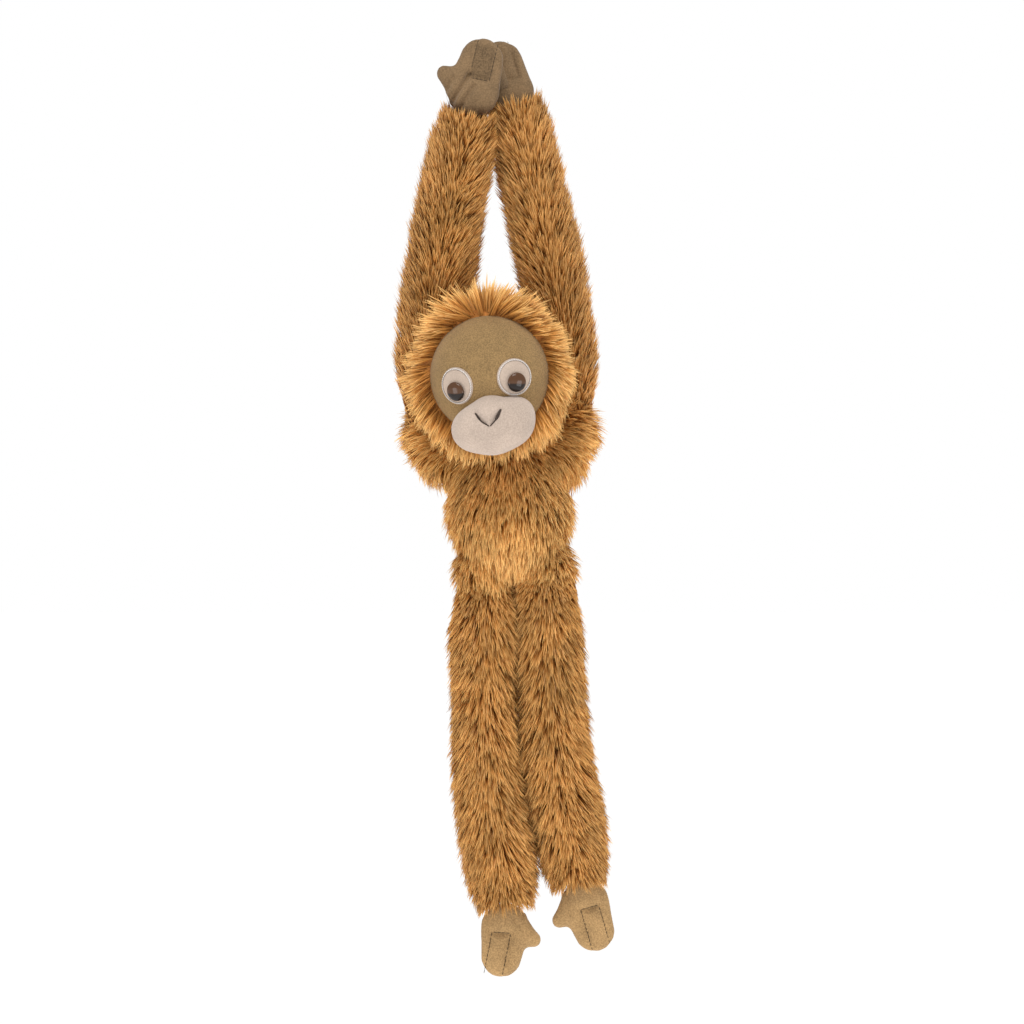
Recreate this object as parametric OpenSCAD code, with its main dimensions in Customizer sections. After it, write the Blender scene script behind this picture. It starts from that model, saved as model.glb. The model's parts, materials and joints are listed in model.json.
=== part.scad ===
// Hanging plush orangutan: long-pile sleeves round polyester stuffing, short-pile hands, feet and
// face, and hands that fasten palm to palm with a hook-and-loop patch so that the arms make a loop.
// Millimetres. The origin is the inside top of that loop. +Z is up, -Y is the way the face looks,
// and right and left are the toy's own.

/* [Pile and fabric] */
// Thickness of the long-pile plush: its backing and the dense part of its pile
pile_t = 4.5; // [3:0.5:5.5]
// Thickness of the short-pile fabric of the hands, feet, face and muzzle
cloth_t = 1; // [0.8:0.1:1.2]
// Thickness of the sewing thread
thread_d = 0.7; // [0.5:0.1:0.9]

/* [Torso and head] */
// Radius of the chest and belly, pile included
chest_r = 30; // [28:1:31]
// Radius of a shoulder, pile included
shoulder_r = 15; // [13:0.5:16]
// Radius of the skull at the face panel
skull_r = 33; // [31.5:0.5:33]
// Sideways tilt of the head, top towards the toy's right
head_roll = 8; // [0:1:12]
// Turn of the head towards the toy's right
head_yaw = 7; // [0:1:12]
// Half the width of the muzzle beyond its end radius
muzzle_half = 7; // [5:1:9]
// Radius of the muzzle's rounded ends
muzzle_r = 16.5; // [15:0.5:17]
// Radius of an eye patch
patch_r = 10; // [9:0.5:10.5]
// Radius of a plastic eye
eye_r = 5.5; // [5:0.25:6]

/* [Arms and legs] */
// Radius of an arm, pile included
arm_r = 13; // [11.5:0.5:13]
// Radius of an arm at the wrist
wrist_r = 10.5; // [9:0.5:11]
// Radius of a thigh, pile included
thigh_r = 14; // [12:0.5:15]
// Radius of a shin at its fullest
shin_r = 15; // [13:0.5:16]
// Radius of a leg at the ankle
ankle_r = 11.5; // [10:0.5:12]
// Thickness of a hand or foot
mitt_t = 9; // [8:0.5:10]
// Side of a square hook-and-loop patch
fastener_w = 18; // [14:1:20]
// Thickness of one half of the fastener
fastener_t = 1.4; // [1:0.1:1.8]

/* [Hidden] */
$fn = 48;
fit_gap = 0.25;    // between a cover and its stuffing
arc_n = 14;        // steps in each rounded end of a limb
joint_gap = 0.8;   // between the rounded end of one part and the cup that turns round it

// Joint centres
neck_c = [-3, -8, -158];
right_shoulder = [-43, 19, -152];
left_shoulder = [44, 19, -152];
right_elbow = [-31, 11, -64];
left_elbow = [28, 14, -64];
right_wrist = [-18, -6.5, 12];
left_wrist = [15, 6.5, 12];
right_hip = [-8, 8, -247];
left_hip = [27, 8, -247];
right_knee = [-6, 8, -336];
left_knee = [32, 8, -333];
right_ankle = [4, 8, -417];
left_ankle = [44, 8, -405];

// Torso and head centres
chest_c = [6, 9, -199];
head_c = [-4, -20, -128.5];
hood_r = skull_r + pile_t;
neck_r = 6;                    // of the ring of stitches at the neck
neck_drop = 3;                 // of that ring below the hood, which nods over it
face_ring_r = 29.5;            // half width of the hood's opening for the face
eye_turn = 29.5;               // of an eye from the middle of the face
eye_drop = 10;
patch_drop = 5.5;
shank_r = 1.8;
shank_l = 11;
muzzle_c = [0, -27, -26.5];

// Hands and feet, drawn flat with the fingers along +Y and the thumb towards +X
palm_r = 14.5;
hand_l = 46;
sole_r = 13.5;
foot_l = 43;
tip_share = 0.84;              // radius of the finger or toe end, of the palm's
line_x = [-0.52, 0.24];        // finger lines across the palm, of its radius

// ---- Rounded tapers, which every stuffed part is made of ----

// Two balls and the cone that touches both, along +Z, as one turned profile
module taper(length, ra, rb) {
    lean = asin((ra - rb) / length);
    near = [for (i = [0:arc_n]) let(t = -90 + (90 + lean) * i / arc_n) [ra * cos(t), ra * sin(t)]];
    far = [for (i = [0:arc_n]) let(t = lean + (90 - lean) * i / arc_n) [rb * cos(t), length + rb * sin(t)]];
    rotate_extrude() polygon(concat(near, far));
}

module along(a, b) {
    d = b - a;
    translate(a) rotate([0, acos(d.z / norm(d)), atan2(d.y, d.x)]) children();
}

module limb(a, b, ra, rb, inset = 0) {
    along(a, b) taper(norm(b - a), ra - inset, rb - inset);
}

// A limb part whose near end starts some way along from the joint, and is a cup round the ball end
// of the part before it
module cupped_limb(joint, start, b, ra, rb, ball_r, inset = 0) {
    along(joint, b) difference() {
        translate([0, 0, start]) taper(norm(b - joint) - start, ra - inset, rb - inset);
        sphere(r = ball_r + joint_gap + inset);
    }
}

// ---- Torso ----

// One smooth skin round the chest and two shoulder balls, with a cup for each arm's ball end
module torso_form(inset = 0) {
    difference() {
        hull() {
            translate(chest_c) sphere(r = chest_r - inset);
            for (side = [-1, 1])
                translate([1 + side * 30, 16, -172]) sphere(r = shoulder_r - inset);
        }
        for (shoulder = [right_shoulder, left_shoulder])
            translate(shoulder) sphere(r = arm_r + joint_gap + inset);
    }
}

// The cover is open at the neck, where the head is sewn on
module torso_skin() {
    color("#b87333") difference() {
        torso_form();
        torso_form(pile_t);
        along(chest_c, head_c) cylinder(h = 60, r = neck_r - 1);
    }
}

module torso_stuffing() {
    color("white") torso_form(pile_t + fit_gap);
}

// The stitches that close the neck, a ring of thread between head and torso
module neck_thread() {
    color("#8a5a2b") along(chest_c, head_c) translate([0, 0, norm(head_c - chest_c) - hood_r - neck_drop])
        rotate_extrude() translate([neck_r, 0]) circle(d = thread_d);
}

// ---- Head, built upright about its centre and then set at its tilt ----

module head_place() {
    translate(head_c) rotate([0, -head_roll, 0]) rotate([0, 0, -head_yaw]) children();
}

// Points +Z out of the skull at an eye. side is -1 for the toy's right and 1 for its left
module at_eye(side, drop) {
    rotate([0, 0, side * eye_turn]) rotate([90 + drop, 0, 0]) children();
}

module face_opening(r) {
    rotate([90, 0, 0]) cylinder(h = 60, r = r);
}

module muzzle_form(inset = 0) {
    translate(muzzle_c) translate([-muzzle_half, 0, 0]) rotate([0, 90, 0])
        taper(2 * muzzle_half, muzzle_r - inset, muzzle_r - inset);
}

// The hood is open for the face, and cut away under it where the muzzle sits
module head_hood() {
    color("#b87333") head_place() difference() {
        rotate([90, 0, 0]) difference() {
            sphere(r = hood_r);
            sphere(r = skull_r);
            cylinder(h = 60, r = face_ring_r);
        }
        muzzle_form(-0.4);
    }
}

module face_panel() {
    color("#a58a5f") head_place() difference() {
        intersection() {
            sphere(r = skull_r);
            face_opening(face_ring_r);
        }
        sphere(r = skull_r - cloth_t);
        for (side = [-1, 1]) at_eye(side, eye_drop) cylinder(h = 40, r = shank_r + 0.1);
    }
}

module head_stuffing() {
    color("white") head_place() difference() {
        sphere(r = skull_r - cloth_t - fit_gap);
        for (side = [-1, 1]) at_eye(side, eye_drop)
            translate([0, 0, skull_r - shank_l - 4]) cylinder(h = 20, r = 8);
    }
}

module muzzle_panel() {
    color("#e3cbbd") head_place() difference() {
        muzzle_form();
        muzzle_form(cloth_t);
        sphere(r = skull_r + 0.1);
    }
}

module muzzle_stuffing() {
    color("white") head_place() difference() {
        muzzle_form(cloth_t + fit_gap);
        sphere(r = skull_r + 0.3);
    }
}

// Two satin stitches that meet under the tip of the nose
module nose_stitching() {
    color("#3d2a1e") head_place() for (side = [-1, 1])
        translate(muzzle_c + [side * 3.6, -muzzle_r - 0.5, 1])
            rotate([0, side * 38, 0]) translate([0, 0, -4.5]) cylinder(h = 9, r = thread_d / 2);
}

module eye_patch(side) {
    color("#e9d8cf") head_place() difference() {
        intersection() {
            sphere(r = skull_r + 0.1 + cloth_t);
            at_eye(side, patch_drop) cylinder(h = 60, r = patch_r);
        }
        sphere(r = skull_r + 0.1);
        muzzle_form(-0.1);
        at_eye(side, eye_drop) cylinder(h = 60, r = shank_r + 0.1);
    }
}

// A domed safety eye and the shank that goes through the face
module plastic_eye(side) {
    color("#2e1d14") head_place() at_eye(side, eye_drop) {
        translate([0, 0, skull_r + cloth_t + 0.3]) intersection() {
            translate([0, 0, -2]) sphere(r = eye_r + 0.35);
            cylinder(h = 10, r = eye_r + 1);
        }
        translate([0, 0, skull_r + cloth_t + 0.4 - shank_l]) cylinder(h = shank_l, r = shank_r);
    }
}

// The locking washer that holds the eye from inside
module eye_washer(side) {
    color("ivory") head_place() at_eye(side, eye_drop) translate([0, 0, skull_r - cloth_t - 5])
        difference() {
            cylinder(h = 1.5, r = 6.5);
            translate([0, 0, -1]) cylinder(h = 4, r = shank_r + 0.05);
        }
}

// ---- Arms ----

forearm_start = 21;    // from the elbow to the middle of the forearm's rounded end
shin_start = 23;

module upper_arm_sleeve(shoulder, elbow) {
    color("#b87333") difference() {
        limb(shoulder, elbow, arm_r, arm_r - 1);
        limb(shoulder, elbow, arm_r, arm_r - 1, pile_t);
    }
}

module upper_arm_stuffing(shoulder, elbow) {
    color("white") limb(shoulder, elbow, arm_r, arm_r - 1, pile_t + fit_gap);
}

module forearm_form(elbow, wrist, inset = 0) {
    cupped_limb(elbow, forearm_start, wrist, arm_r - 0.5, wrist_r, arm_r - 1, inset);
}

module forearm_sleeve(elbow, wrist) {
    color("#b87333") difference() {
        forearm_form(elbow, wrist);
        forearm_form(elbow, wrist, pile_t);
    }
}

module forearm_stuffing(elbow, wrist) {
    color("white") forearm_form(elbow, wrist, pile_t + fit_gap);
}

// ---- Hands and feet ----

// Outline of a hand or foot: palm, finger end and thumb
module mitt_outline(r, length, inset = 0) {
    hull() {
        translate([0, r + 2]) circle(r = r - inset, $fn = 32);
        translate([-1, length - tip_share * r]) circle(r = tip_share * r - inset, $fn = 32);
    }
    hull() {
        translate([0, r + 1]) circle(r = 0.8 * r - inset, $fn = 32);
        translate([1.2 * r, 1.55 * r]) circle(r = 0.32 * r - inset, $fn = 32);
    }
}

// One half of a mitt, a shallow tray of fabric whose open side is the middle plane
module mitt_half(r, length, up) {
    mirror([0, 0, up ? 0 : 1]) difference() {
        translate([0, 0, 0.05]) linear_extrude(mitt_t / 2 - 0.05) mitt_outline(r, length);
        translate([0, 0, -1]) linear_extrude(mitt_t / 2 + 1 - cloth_t) mitt_outline(r, length, cloth_t);
    }
}

module mitt_stuffing(r, length) {
    h = mitt_t - 2 * cloth_t - 2 * fit_gap;
    translate([0, 0, -h / 2]) linear_extrude(h) mitt_outline(r, length, cloth_t + fit_gap);
}

// Two finger lines and the line across their roots, from this share of the length
module mitt_stitching(r, length, root) {
    translate([0, root * length, mitt_t / 2 + thread_d / 2 + 0.05]) {
        for (x = line_x)
            translate([x * r, 0, 0]) rotate([-90, 0, 0]) cylinder(h = (0.94 - root) * length, d = thread_d);
        translate([line_x[0] * r + 0.5, -0.8, 0]) rotate([0, 90, 0])
            cylinder(h = (line_x[1] - line_x[0]) * r - 1, d = thread_d);
    }
}

// Sets a flat mitt at a wrist or ankle, clear of the rounded end of the limb. thumb is the side that
// the thumb points to, front says whether its upper face looks forward
module mitt_place(joint, shift, end_r, turn, thumb, up = true) {
    difference() {
        translate(joint + shift) rotate([0, turn, 0]) rotate([90, 0, 0])
            mirror([thumb < 0 ? 1 : 0, 0, 0]) mirror([0, up ? 0 : 1, 0]) children();
        translate(joint) sphere(r = end_r + joint_gap);
    }
}

module right_hand_place() {
    mitt_place(right_wrist, [1, 0.4, 0], wrist_r, 12, -1) children();
}

module left_hand_place() {
    mitt_place(left_wrist, [-4.5, -0.4, 0], wrist_r, -17, -1) mirror([0, 0, 1]) children();
}

module right_foot_place() {
    mitt_place(right_ankle, [1, 0, 0], ankle_r, 4, 1, false) children();
}

module left_foot_place() {
    mitt_place(left_ankle, [0, 0, 1], ankle_r, -15, -1, false) children();
}

// shift moves it across the palm, so that the two halves meet where the hands cross
module fastener(shift) {
    color("#6e5a48") translate([shift - fastener_w / 2, 0.42 * hand_l, -mitt_t / 2 - 0.05 - fastener_t])
        cube([fastener_w, fastener_w, fastener_t]);
}

// ---- Legs ----

module thigh_sleeve(hip, knee) {
    color("#b87333") difference() {
        limb(hip, knee, thigh_r, thigh_r - 1);
        limb(hip, knee, thigh_r, thigh_r - 1, pile_t);
    }
}

module thigh_stuffing(hip, knee) {
    color("white") limb(hip, knee, thigh_r, thigh_r - 1, pile_t + fit_gap);
}

module shin_form(knee, ankle, inset = 0) {
    cupped_limb(knee, shin_start, ankle, shin_r, ankle_r, thigh_r - 1, inset);
}

module shin_sleeve(knee, ankle) {
    color("#b87333") difference() {
        shin_form(knee, ankle);
        shin_form(knee, ankle, pile_t);
    }
}

module shin_stuffing(knee, ankle) {
    color("white") shin_form(knee, ankle, pile_t + fit_gap);
}

// ---- Nodes ----

torso_skin();
torso_stuffing();
neck_thread();
head_hood();
head_stuffing();
face_panel();
muzzle_panel();
muzzle_stuffing();
nose_stitching();
eye_patch(-1);  // right_eye_patch
plastic_eye(-1);  // right_eye
eye_washer(-1);  // right_eye_washer
eye_patch(1);  // left_eye_patch
plastic_eye(1);  // left_eye
eye_washer(1);  // left_eye_washer
upper_arm_sleeve(right_shoulder, right_elbow);  // right_upper_arm_sleeve
upper_arm_stuffing(right_shoulder, right_elbow);  // right_upper_arm_stuffing
forearm_sleeve(right_elbow, right_wrist);  // right_forearm_sleeve
forearm_stuffing(right_elbow, right_wrist);  // right_forearm_stuffing
color("#9c8059") right_hand_place() mitt_half(palm_r, hand_l, true);  // right_hand_back
color("#9c8059") right_hand_place() mitt_half(palm_r, hand_l, false);  // right_hand_palm
color("white") right_hand_place() mitt_stuffing(palm_r, hand_l);  // right_hand_stuffing
color("#5d4932") right_hand_place() mitt_stitching(palm_r, hand_l, 0.5);  // right_finger_stitching
right_hand_place() fastener(-3.5);  // hook_patch
upper_arm_sleeve(left_shoulder, left_elbow);  // left_upper_arm_sleeve
upper_arm_stuffing(left_shoulder, left_elbow);  // left_upper_arm_stuffing
forearm_sleeve(left_elbow, left_wrist);  // left_forearm_sleeve
forearm_stuffing(left_elbow, left_wrist);  // left_forearm_stuffing
color("#9c8059") left_hand_place() mitt_half(palm_r, hand_l, true);  // left_hand_back
color("#9c8059") left_hand_place() mitt_half(palm_r, hand_l, false);  // left_hand_palm
color("white") left_hand_place() mitt_stuffing(palm_r, hand_l);  // left_hand_stuffing
color("#5d4932") left_hand_place() mitt_stitching(palm_r, hand_l, 0.5);  // left_finger_stitching
left_hand_place() fastener(3.5);  // loop_patch
thigh_sleeve(right_hip, right_knee);  // right_thigh_sleeve
thigh_stuffing(right_hip, right_knee);  // right_thigh_stuffing
shin_sleeve(right_knee, right_ankle);  // right_shin_sleeve
shin_stuffing(right_knee, right_ankle);  // right_shin_stuffing
color("#9c8059") right_foot_place() mitt_half(sole_r, foot_l, true);  // right_foot_top
color("#9c8059") right_foot_place() mitt_half(sole_r, foot_l, false);  // right_foot_sole
color("white") right_foot_place() mitt_stuffing(sole_r, foot_l);  // right_foot_stuffing
color("#5d4932") right_foot_place() mitt_stitching(sole_r, foot_l, 0.42);  // right_toe_stitching
thigh_sleeve(left_hip, left_knee);  // left_thigh_sleeve
thigh_stuffing(left_hip, left_knee);  // left_thigh_stuffing
shin_sleeve(left_knee, left_ankle);  // left_shin_sleeve
shin_stuffing(left_knee, left_ankle);  // left_shin_stuffing
color("#9c8059") left_foot_place() mitt_half(sole_r, foot_l, true);  // left_foot_top
color("#9c8059") left_foot_place() mitt_half(sole_r, foot_l, false);  // left_foot_sole
color("white") left_foot_place() mitt_stuffing(sole_r, foot_l);  // left_foot_stuffing
color("#5d4932") left_foot_place() mitt_stitching(sole_r, foot_l, 0.42);  // left_toe_stitching
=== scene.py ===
"""Looks of a hanging plush orangutan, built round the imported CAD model.

The long pile is real geometry: thin tapered blades that stand in locks on padded covers, combed along
a flow that each part of the toy has. Face, muzzle, hands and feet are short velour with sewn details.
Lengths are metres unless a name says mm.
"""
import json
import logging
import math
from dataclasses import dataclass, field
from enum import Enum
from typing import Callable, Optional, Sequence, Union

import bpy
import numpy as np
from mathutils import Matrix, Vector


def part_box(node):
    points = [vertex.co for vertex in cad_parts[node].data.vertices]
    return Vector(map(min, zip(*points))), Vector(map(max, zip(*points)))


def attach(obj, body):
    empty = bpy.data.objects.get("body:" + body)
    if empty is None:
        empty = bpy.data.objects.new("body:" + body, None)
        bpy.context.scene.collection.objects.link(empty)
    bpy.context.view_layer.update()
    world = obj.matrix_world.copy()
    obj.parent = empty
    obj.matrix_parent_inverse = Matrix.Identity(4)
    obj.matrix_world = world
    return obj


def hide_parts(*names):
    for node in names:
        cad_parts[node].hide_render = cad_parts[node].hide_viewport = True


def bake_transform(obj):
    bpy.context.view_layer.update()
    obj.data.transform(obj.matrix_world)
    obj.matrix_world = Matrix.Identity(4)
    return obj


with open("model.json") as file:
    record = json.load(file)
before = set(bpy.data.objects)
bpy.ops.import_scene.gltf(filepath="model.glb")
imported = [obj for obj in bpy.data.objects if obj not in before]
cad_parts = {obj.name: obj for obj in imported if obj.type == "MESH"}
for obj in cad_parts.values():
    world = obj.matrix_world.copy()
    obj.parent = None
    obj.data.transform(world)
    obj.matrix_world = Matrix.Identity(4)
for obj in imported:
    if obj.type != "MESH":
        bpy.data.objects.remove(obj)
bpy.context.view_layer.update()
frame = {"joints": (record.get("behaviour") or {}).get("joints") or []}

LOG = logging.getLogger("plush")
MM = 0.001
Array = np.ndarray
Socket = bpy.types.NodeSocket
Value = Union[float, Sequence[float], Socket]
FULL_TURN = 2 * math.pi
HALVINGS = 26  # of a ray, which find the skin to well under a thousandth of a millimetre
TORSO_SEED = 500
HEAD_SEED = 600
TAPE_SEED = 900


class Side(Enum):
    """The toy's own sides."""

    RIGHT = "right"
    LEFT = "left"

    @property
    def sign(self) -> float:
        """Gives the side's direction along +X: the toy's right is at -X, as it faces -Y."""
        return -1.0 if self is Side.RIGHT else 1.0


# ---------------------------------------------------------------- vectors and meshes


def unit(v: Array) -> Array:
    """Scales vectors to length one along the last axis."""
    return v / np.maximum(np.linalg.norm(v, axis=-1, keepdims=True), 1e-12)


def smoothstep(x: Array, low: float, high: float) -> Array:
    """Rises smoothly from 0 at low to 1 at high: 3t^2 - 2t^3."""
    t = np.clip((np.asarray(x, float) - low) / (high - low), 0.0, 1.0)
    return t * t * (3.0 - 2.0 * t)


def flatten_to(v: Array, normal: Array) -> Array:
    """Takes from v its share along normal, which leaves the part that lies in the surface."""
    return v - np.sum(v * normal, axis=-1, keepdims=True) * normal


def joint_at(name: str) -> Array:
    """Gives a CAD joint's centre at rest."""
    return np.array(next(j["pos_m"] for j in frame["joints"] if j["name"] == name), float)


def box_of(node: str) -> tuple[Array, Array]:
    """Gives a CAD node's lowest and highest corners as arrays."""
    low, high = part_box(node)
    return np.array(low, float), np.array(high, float)


@dataclass
class Shape:
    """Vertices with quads and triangles, as arrays.

    Args:
        verts: N by 3 places.
        quads: faces of four corners.
        tris: faces of three corners.
        uv: optional N by 2 coordinates for each vertex.
    """

    verts: Array
    quads: Array = field(default_factory=lambda: np.zeros((0, 4), np.int64))
    tris: Array = field(default_factory=lambda: np.zeros((0, 3), np.int64))
    uv: Optional[Array] = None

    def triangles(self) -> Array:
        """Gives every face as triangles, each quad cut along one diagonal."""
        q = self.quads
        return np.concatenate([q[:, [0, 1, 2]], q[:, [0, 2, 3]], self.tris])

    def normals(self) -> Array:
        """Works out vertex normals as the sum of the cross products of the triangles round each."""
        t = self.triangles()
        a, b, c = (self.verts[t[:, k]] for k in range(3))
        face = np.cross(b - a, c - a)
        out = np.zeros_like(self.verts)
        for k in range(3):
            np.add.at(out, t[:, k], face)
        return unit(out)


def join(shapes: Sequence[Shape]) -> Shape:
    """Puts several shapes into one, without welding them.

    Args:
        shapes: in the order in which their vertices are numbered.

    Returns:
        One shape, with uv where all of them have it.
    """
    starts = np.cumsum([0] + [len(s.verts) for s in shapes[:-1]])
    uv = np.concatenate([s.uv for s in shapes]) if all(s.uv is not None for s in shapes) else None
    return Shape(
        np.concatenate([s.verts for s in shapes]),
        np.concatenate([s.quads + k for s, k in zip(shapes, starts)]),
        np.concatenate([s.tris + k for s, k in zip(shapes, starts)]),
        uv,
    )


def grid_quads(rows: int, columns: int, wrap: bool = False) -> Array:
    """Numbers the quads of a grid of rows by columns vertices.

    Args:
        rows: vertices along the first parameter.
        columns: vertices along the second parameter.
        wrap: joins the last column to the first.

    Returns:
        The quads, wound so that row direction cross column direction is their normal.
    """
    r = np.arange(rows - 1)[:, None]
    c = np.arange(columns if wrap else columns - 1)[None, :]
    n = (c + 1) % columns
    corners = [r * columns + c, (r + 1) * columns + c, (r + 1) * columns + n, r * columns + n]
    return np.stack(corners, -1).reshape(-1, 4)


def capped_grid(places: Array, close_start: bool = True, close_end: bool = True) -> Shape:
    """Makes a closed skin from rings of places, with a pole at each closed end.

    Args:
        places: rows by columns by 3, where each row is a ring.
        close_start: puts a pole at the middle of the first ring.
        close_end: puts a pole at the middle of the last ring.

    Returns:
        The shape, with uv as (round the ring, along the rings).
    """
    rows, columns = places.shape[:2]
    verts = places.reshape(-1, 3)
    uv = np.stack(np.meshgrid(np.arange(columns) / columns, np.linspace(0, 1, rows)), -1).reshape(-1, 2)
    tris = []
    k = np.arange(columns)
    n = (k + 1) % columns
    if close_start:
        tris.append(np.stack([np.full(columns, len(verts)), k, n], 1))
        verts = np.vstack([verts, places[0].mean(0)])
        uv = np.vstack([uv, [0.5, 0.0]])
    if close_end:
        last = (rows - 1) * columns
        tris.append(np.stack([np.full(columns, len(verts)), last + n, last + k], 1))
        verts = np.vstack([verts, places[-1].mean(0)])
        uv = np.vstack([uv, [0.5, 1.0]])
    faces = np.concatenate(tris) if tris else np.zeros((0, 3), np.int64)
    return Shape(verts, grid_quads(rows, columns, True), faces, uv)


def make_mesh(name: str, shape: Shape, smooth: bool = True) -> bpy.types.Object:
    """Puts a shape into a new mesh object at the origin.

    Args:
        name: the piece's name.
        shape: its arrays.
        smooth: shades the faces smooth.

    Returns:
        The object, linked to the scene.
    """
    nq, nt = len(shape.quads), len(shape.tris)
    loops = np.concatenate([shape.quads.ravel(), shape.tris.ravel()]).astype(np.int32)
    starts = np.concatenate([np.arange(nq) * 4, nq * 4 + np.arange(nt) * 3]).astype(np.int32)
    mesh = bpy.data.meshes.new(name)
    mesh.vertices.add(len(shape.verts))
    mesh.vertices.foreach_set("co", shape.verts.astype(np.float32).ravel())
    mesh.loops.add(len(loops))
    mesh.loops.foreach_set("vertex_index", loops)
    mesh.polygons.add(nq + nt)
    mesh.polygons.foreach_set("loop_start", starts)
    mesh.update(calc_edges=True)
    mesh.validate()
    mesh.polygons.foreach_set("use_smooth", np.full(nq + nt, smooth))
    if shape.uv is not None:
        layer = mesh.uv_layers.new(name="Strand")
        layer.uv.foreach_set("vector", shape.uv[loops].astype(np.float32).ravel())
    piece = bpy.data.objects.new(name, mesh)
    bpy.context.scene.collection.objects.link(piece)
    return piece


# ---------------------------------------------------------------- finishes


def add_node(
    tree: bpy.types.NodeTree, kind: str, inputs: Optional[dict] = None, **settings: object
) -> bpy.types.Node:
    """Adds a shader node.

    Args:
        tree: the tree to add it to.
        kind: the node's type name without its ShaderNode prefix.
        inputs: input name or number to a value, or to a socket to link from.
        settings: attributes of the node.

    Returns:
        The node.
    """
    node = tree.nodes.new("ShaderNode" + kind)
    for name, value in settings.items():
        setattr(node, name, value)
    for name, value in (inputs or {}).items():
        if isinstance(value, bpy.types.NodeSocket):
            tree.links.new(value, node.inputs[name])
        else:
            node.inputs[name].default_value = value
    return node


def new_group(
    name: str, inputs: dict, outputs: dict
) -> tuple[bpy.types.NodeTree, bpy.types.Node, bpy.types.Node]:
    """Starts a shader node group.

    Args:
        name: the group's name.
        inputs: input name to its default, a number or a colour.
        outputs: output name to its kind, "Color" or "Float".

    Returns:
        The group, its input node and its output node.
    """
    group = bpy.data.node_groups.new(name, "ShaderNodeTree")
    for key, default in inputs.items():
        kind = "NodeSocketFloat" if isinstance(default, (int, float)) else "NodeSocketColor"
        socket = group.interface.new_socket(name=key, in_out="INPUT", socket_type=kind)
        socket.default_value = default if isinstance(default, (int, float)) else rgba(default)
    for key, kind in outputs.items():
        group.interface.new_socket(name=key, in_out="OUTPUT", socket_type="NodeSocket" + kind)
    return group, group.nodes.new("NodeGroupInput"), group.nodes.new("NodeGroupOutput")


def rgba(colour: Sequence[float]) -> tuple[float, float, float, float]:
    """Adds full alpha to a linear colour."""
    return (float(colour[0]), float(colour[1]), float(colour[2]), 1.0)


def mix_colours(tree: bpy.types.NodeTree, share: Value, a: Value, b: Value, blend: str = "MIX") -> Socket:
    """Mixes two colours.

    Args:
        tree: the tree to add the node to.
        share: how much of b is mixed in, from 0 to 1.
        a: the first colour.
        b: the second colour.
        blend: the way that they mix.

    Returns:
        The mixed colour's socket.
    """
    node = add_node(tree, "Mix", data_type="RGBA", blend_type=blend)
    for key, value in ((0, share), (6, a), (7, b)):
        if isinstance(value, Socket):
            tree.links.new(value, node.inputs[key])
        else:
            node.inputs[key].default_value = value
    return node.outputs[2]


def remap(
    tree: bpy.types.NodeTree, value: Value, low: float, high: float, to_low: float, to_high: float
) -> Socket:
    """Maps value smoothly from low..high to to_low..to_high, and returns the result's socket."""
    ends = {0: value, 1: low, 2: high, 3: to_low, 4: to_high}
    return add_node(tree, "MapRange", ends, interpolation_type="SMOOTHSTEP").outputs[0]


def maths(tree: bpy.types.NodeTree, operation: str, a: Value, b: Value = 0.0) -> Socket:
    """Adds a Math node and returns its result's socket."""
    return add_node(tree, "Math", {0: a, 1: b}, operation=operation).outputs[0]


def strand_map(tree: bpy.types.NodeTree) -> bpy.types.Node:
    """Reads the Strand map and gives the node that parts it, with u and v as its first two outputs."""
    return add_node(tree, "SeparateXYZ", {0: add_node(tree, "UVMap", uv_map="Strand").outputs[0]})


def shaded(tree: bpy.types.NodeTree, colour: Value, tone: Socket) -> Socket:
    """Multiplies a colour by a grey tone and returns the result's socket."""
    grey = add_node(tree, "CombineColor", {0: tone, 1: tone, 2: tone}).outputs[0]
    return mix_colours(tree, 1.0, colour, grey, "MULTIPLY")


def object_noise(tree: bpy.types.NodeTree, scale: float, detail: float = 2.0) -> Socket:
    """Adds a noise on Object coordinates, with scale in cells a metre, and returns its value's socket."""
    place = add_node(tree, "TexCoord").outputs["Object"]
    return add_node(tree, "TexNoise", {"Vector": place, "Scale": scale, "Detail": detail}).outputs[0]


def locks_group() -> bpy.types.NodeTree:
    """Group that colours a blade of pile from root to tip, with tones that drift over the plush.

    It reads the Strand map: u is the blade's own random tone and v runs from root to tip.
    """
    group, start, end = new_group(
        "Pile locks",
        {"Root": (0.1, 0.04, 0.01), "Middle": (0.5, 0.2, 0.06), "Tip": (0.8, 0.5, 0.25), "Tone": 0.3},
        {"Color": "Color", "Roughness": "Float"},
    )
    parts = strand_map(group)
    lower = remap(group, parts.outputs[1], 0.05, 0.62, 0.0, 1.0)
    # The Tip colour is the pile's own lighter tips with painted light added, which stands in for light
    # shining through the tips.
    upper = remap(group, parts.outputs[1], 0.45, 1.0, 0.0, 1.0)
    body = mix_colours(group, lower, start.outputs["Root"], start.outputs["Middle"])
    whole = mix_colours(group, upper, body, start.outputs["Tip"])
    drift = remap(group, object_noise(group, 55.0, 3.0), 0.3, 0.7, -0.5, 0.5)
    own = maths(group, "SUBTRACT", parts.outputs[0], 0.5)
    both = maths(group, "ADD", maths(group, "MULTIPLY", drift, 0.7), own)
    tone = maths(group, "ADD", maths(group, "MULTIPLY", both, start.outputs["Tone"]), 1.0)
    group.links.new(shaded(group, whole, tone), end.inputs["Color"])
    group.links.new(remap(group, parts.outputs[1], 0.0, 1.0, 0.62, 0.42), end.inputs["Roughness"])
    return group


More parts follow.
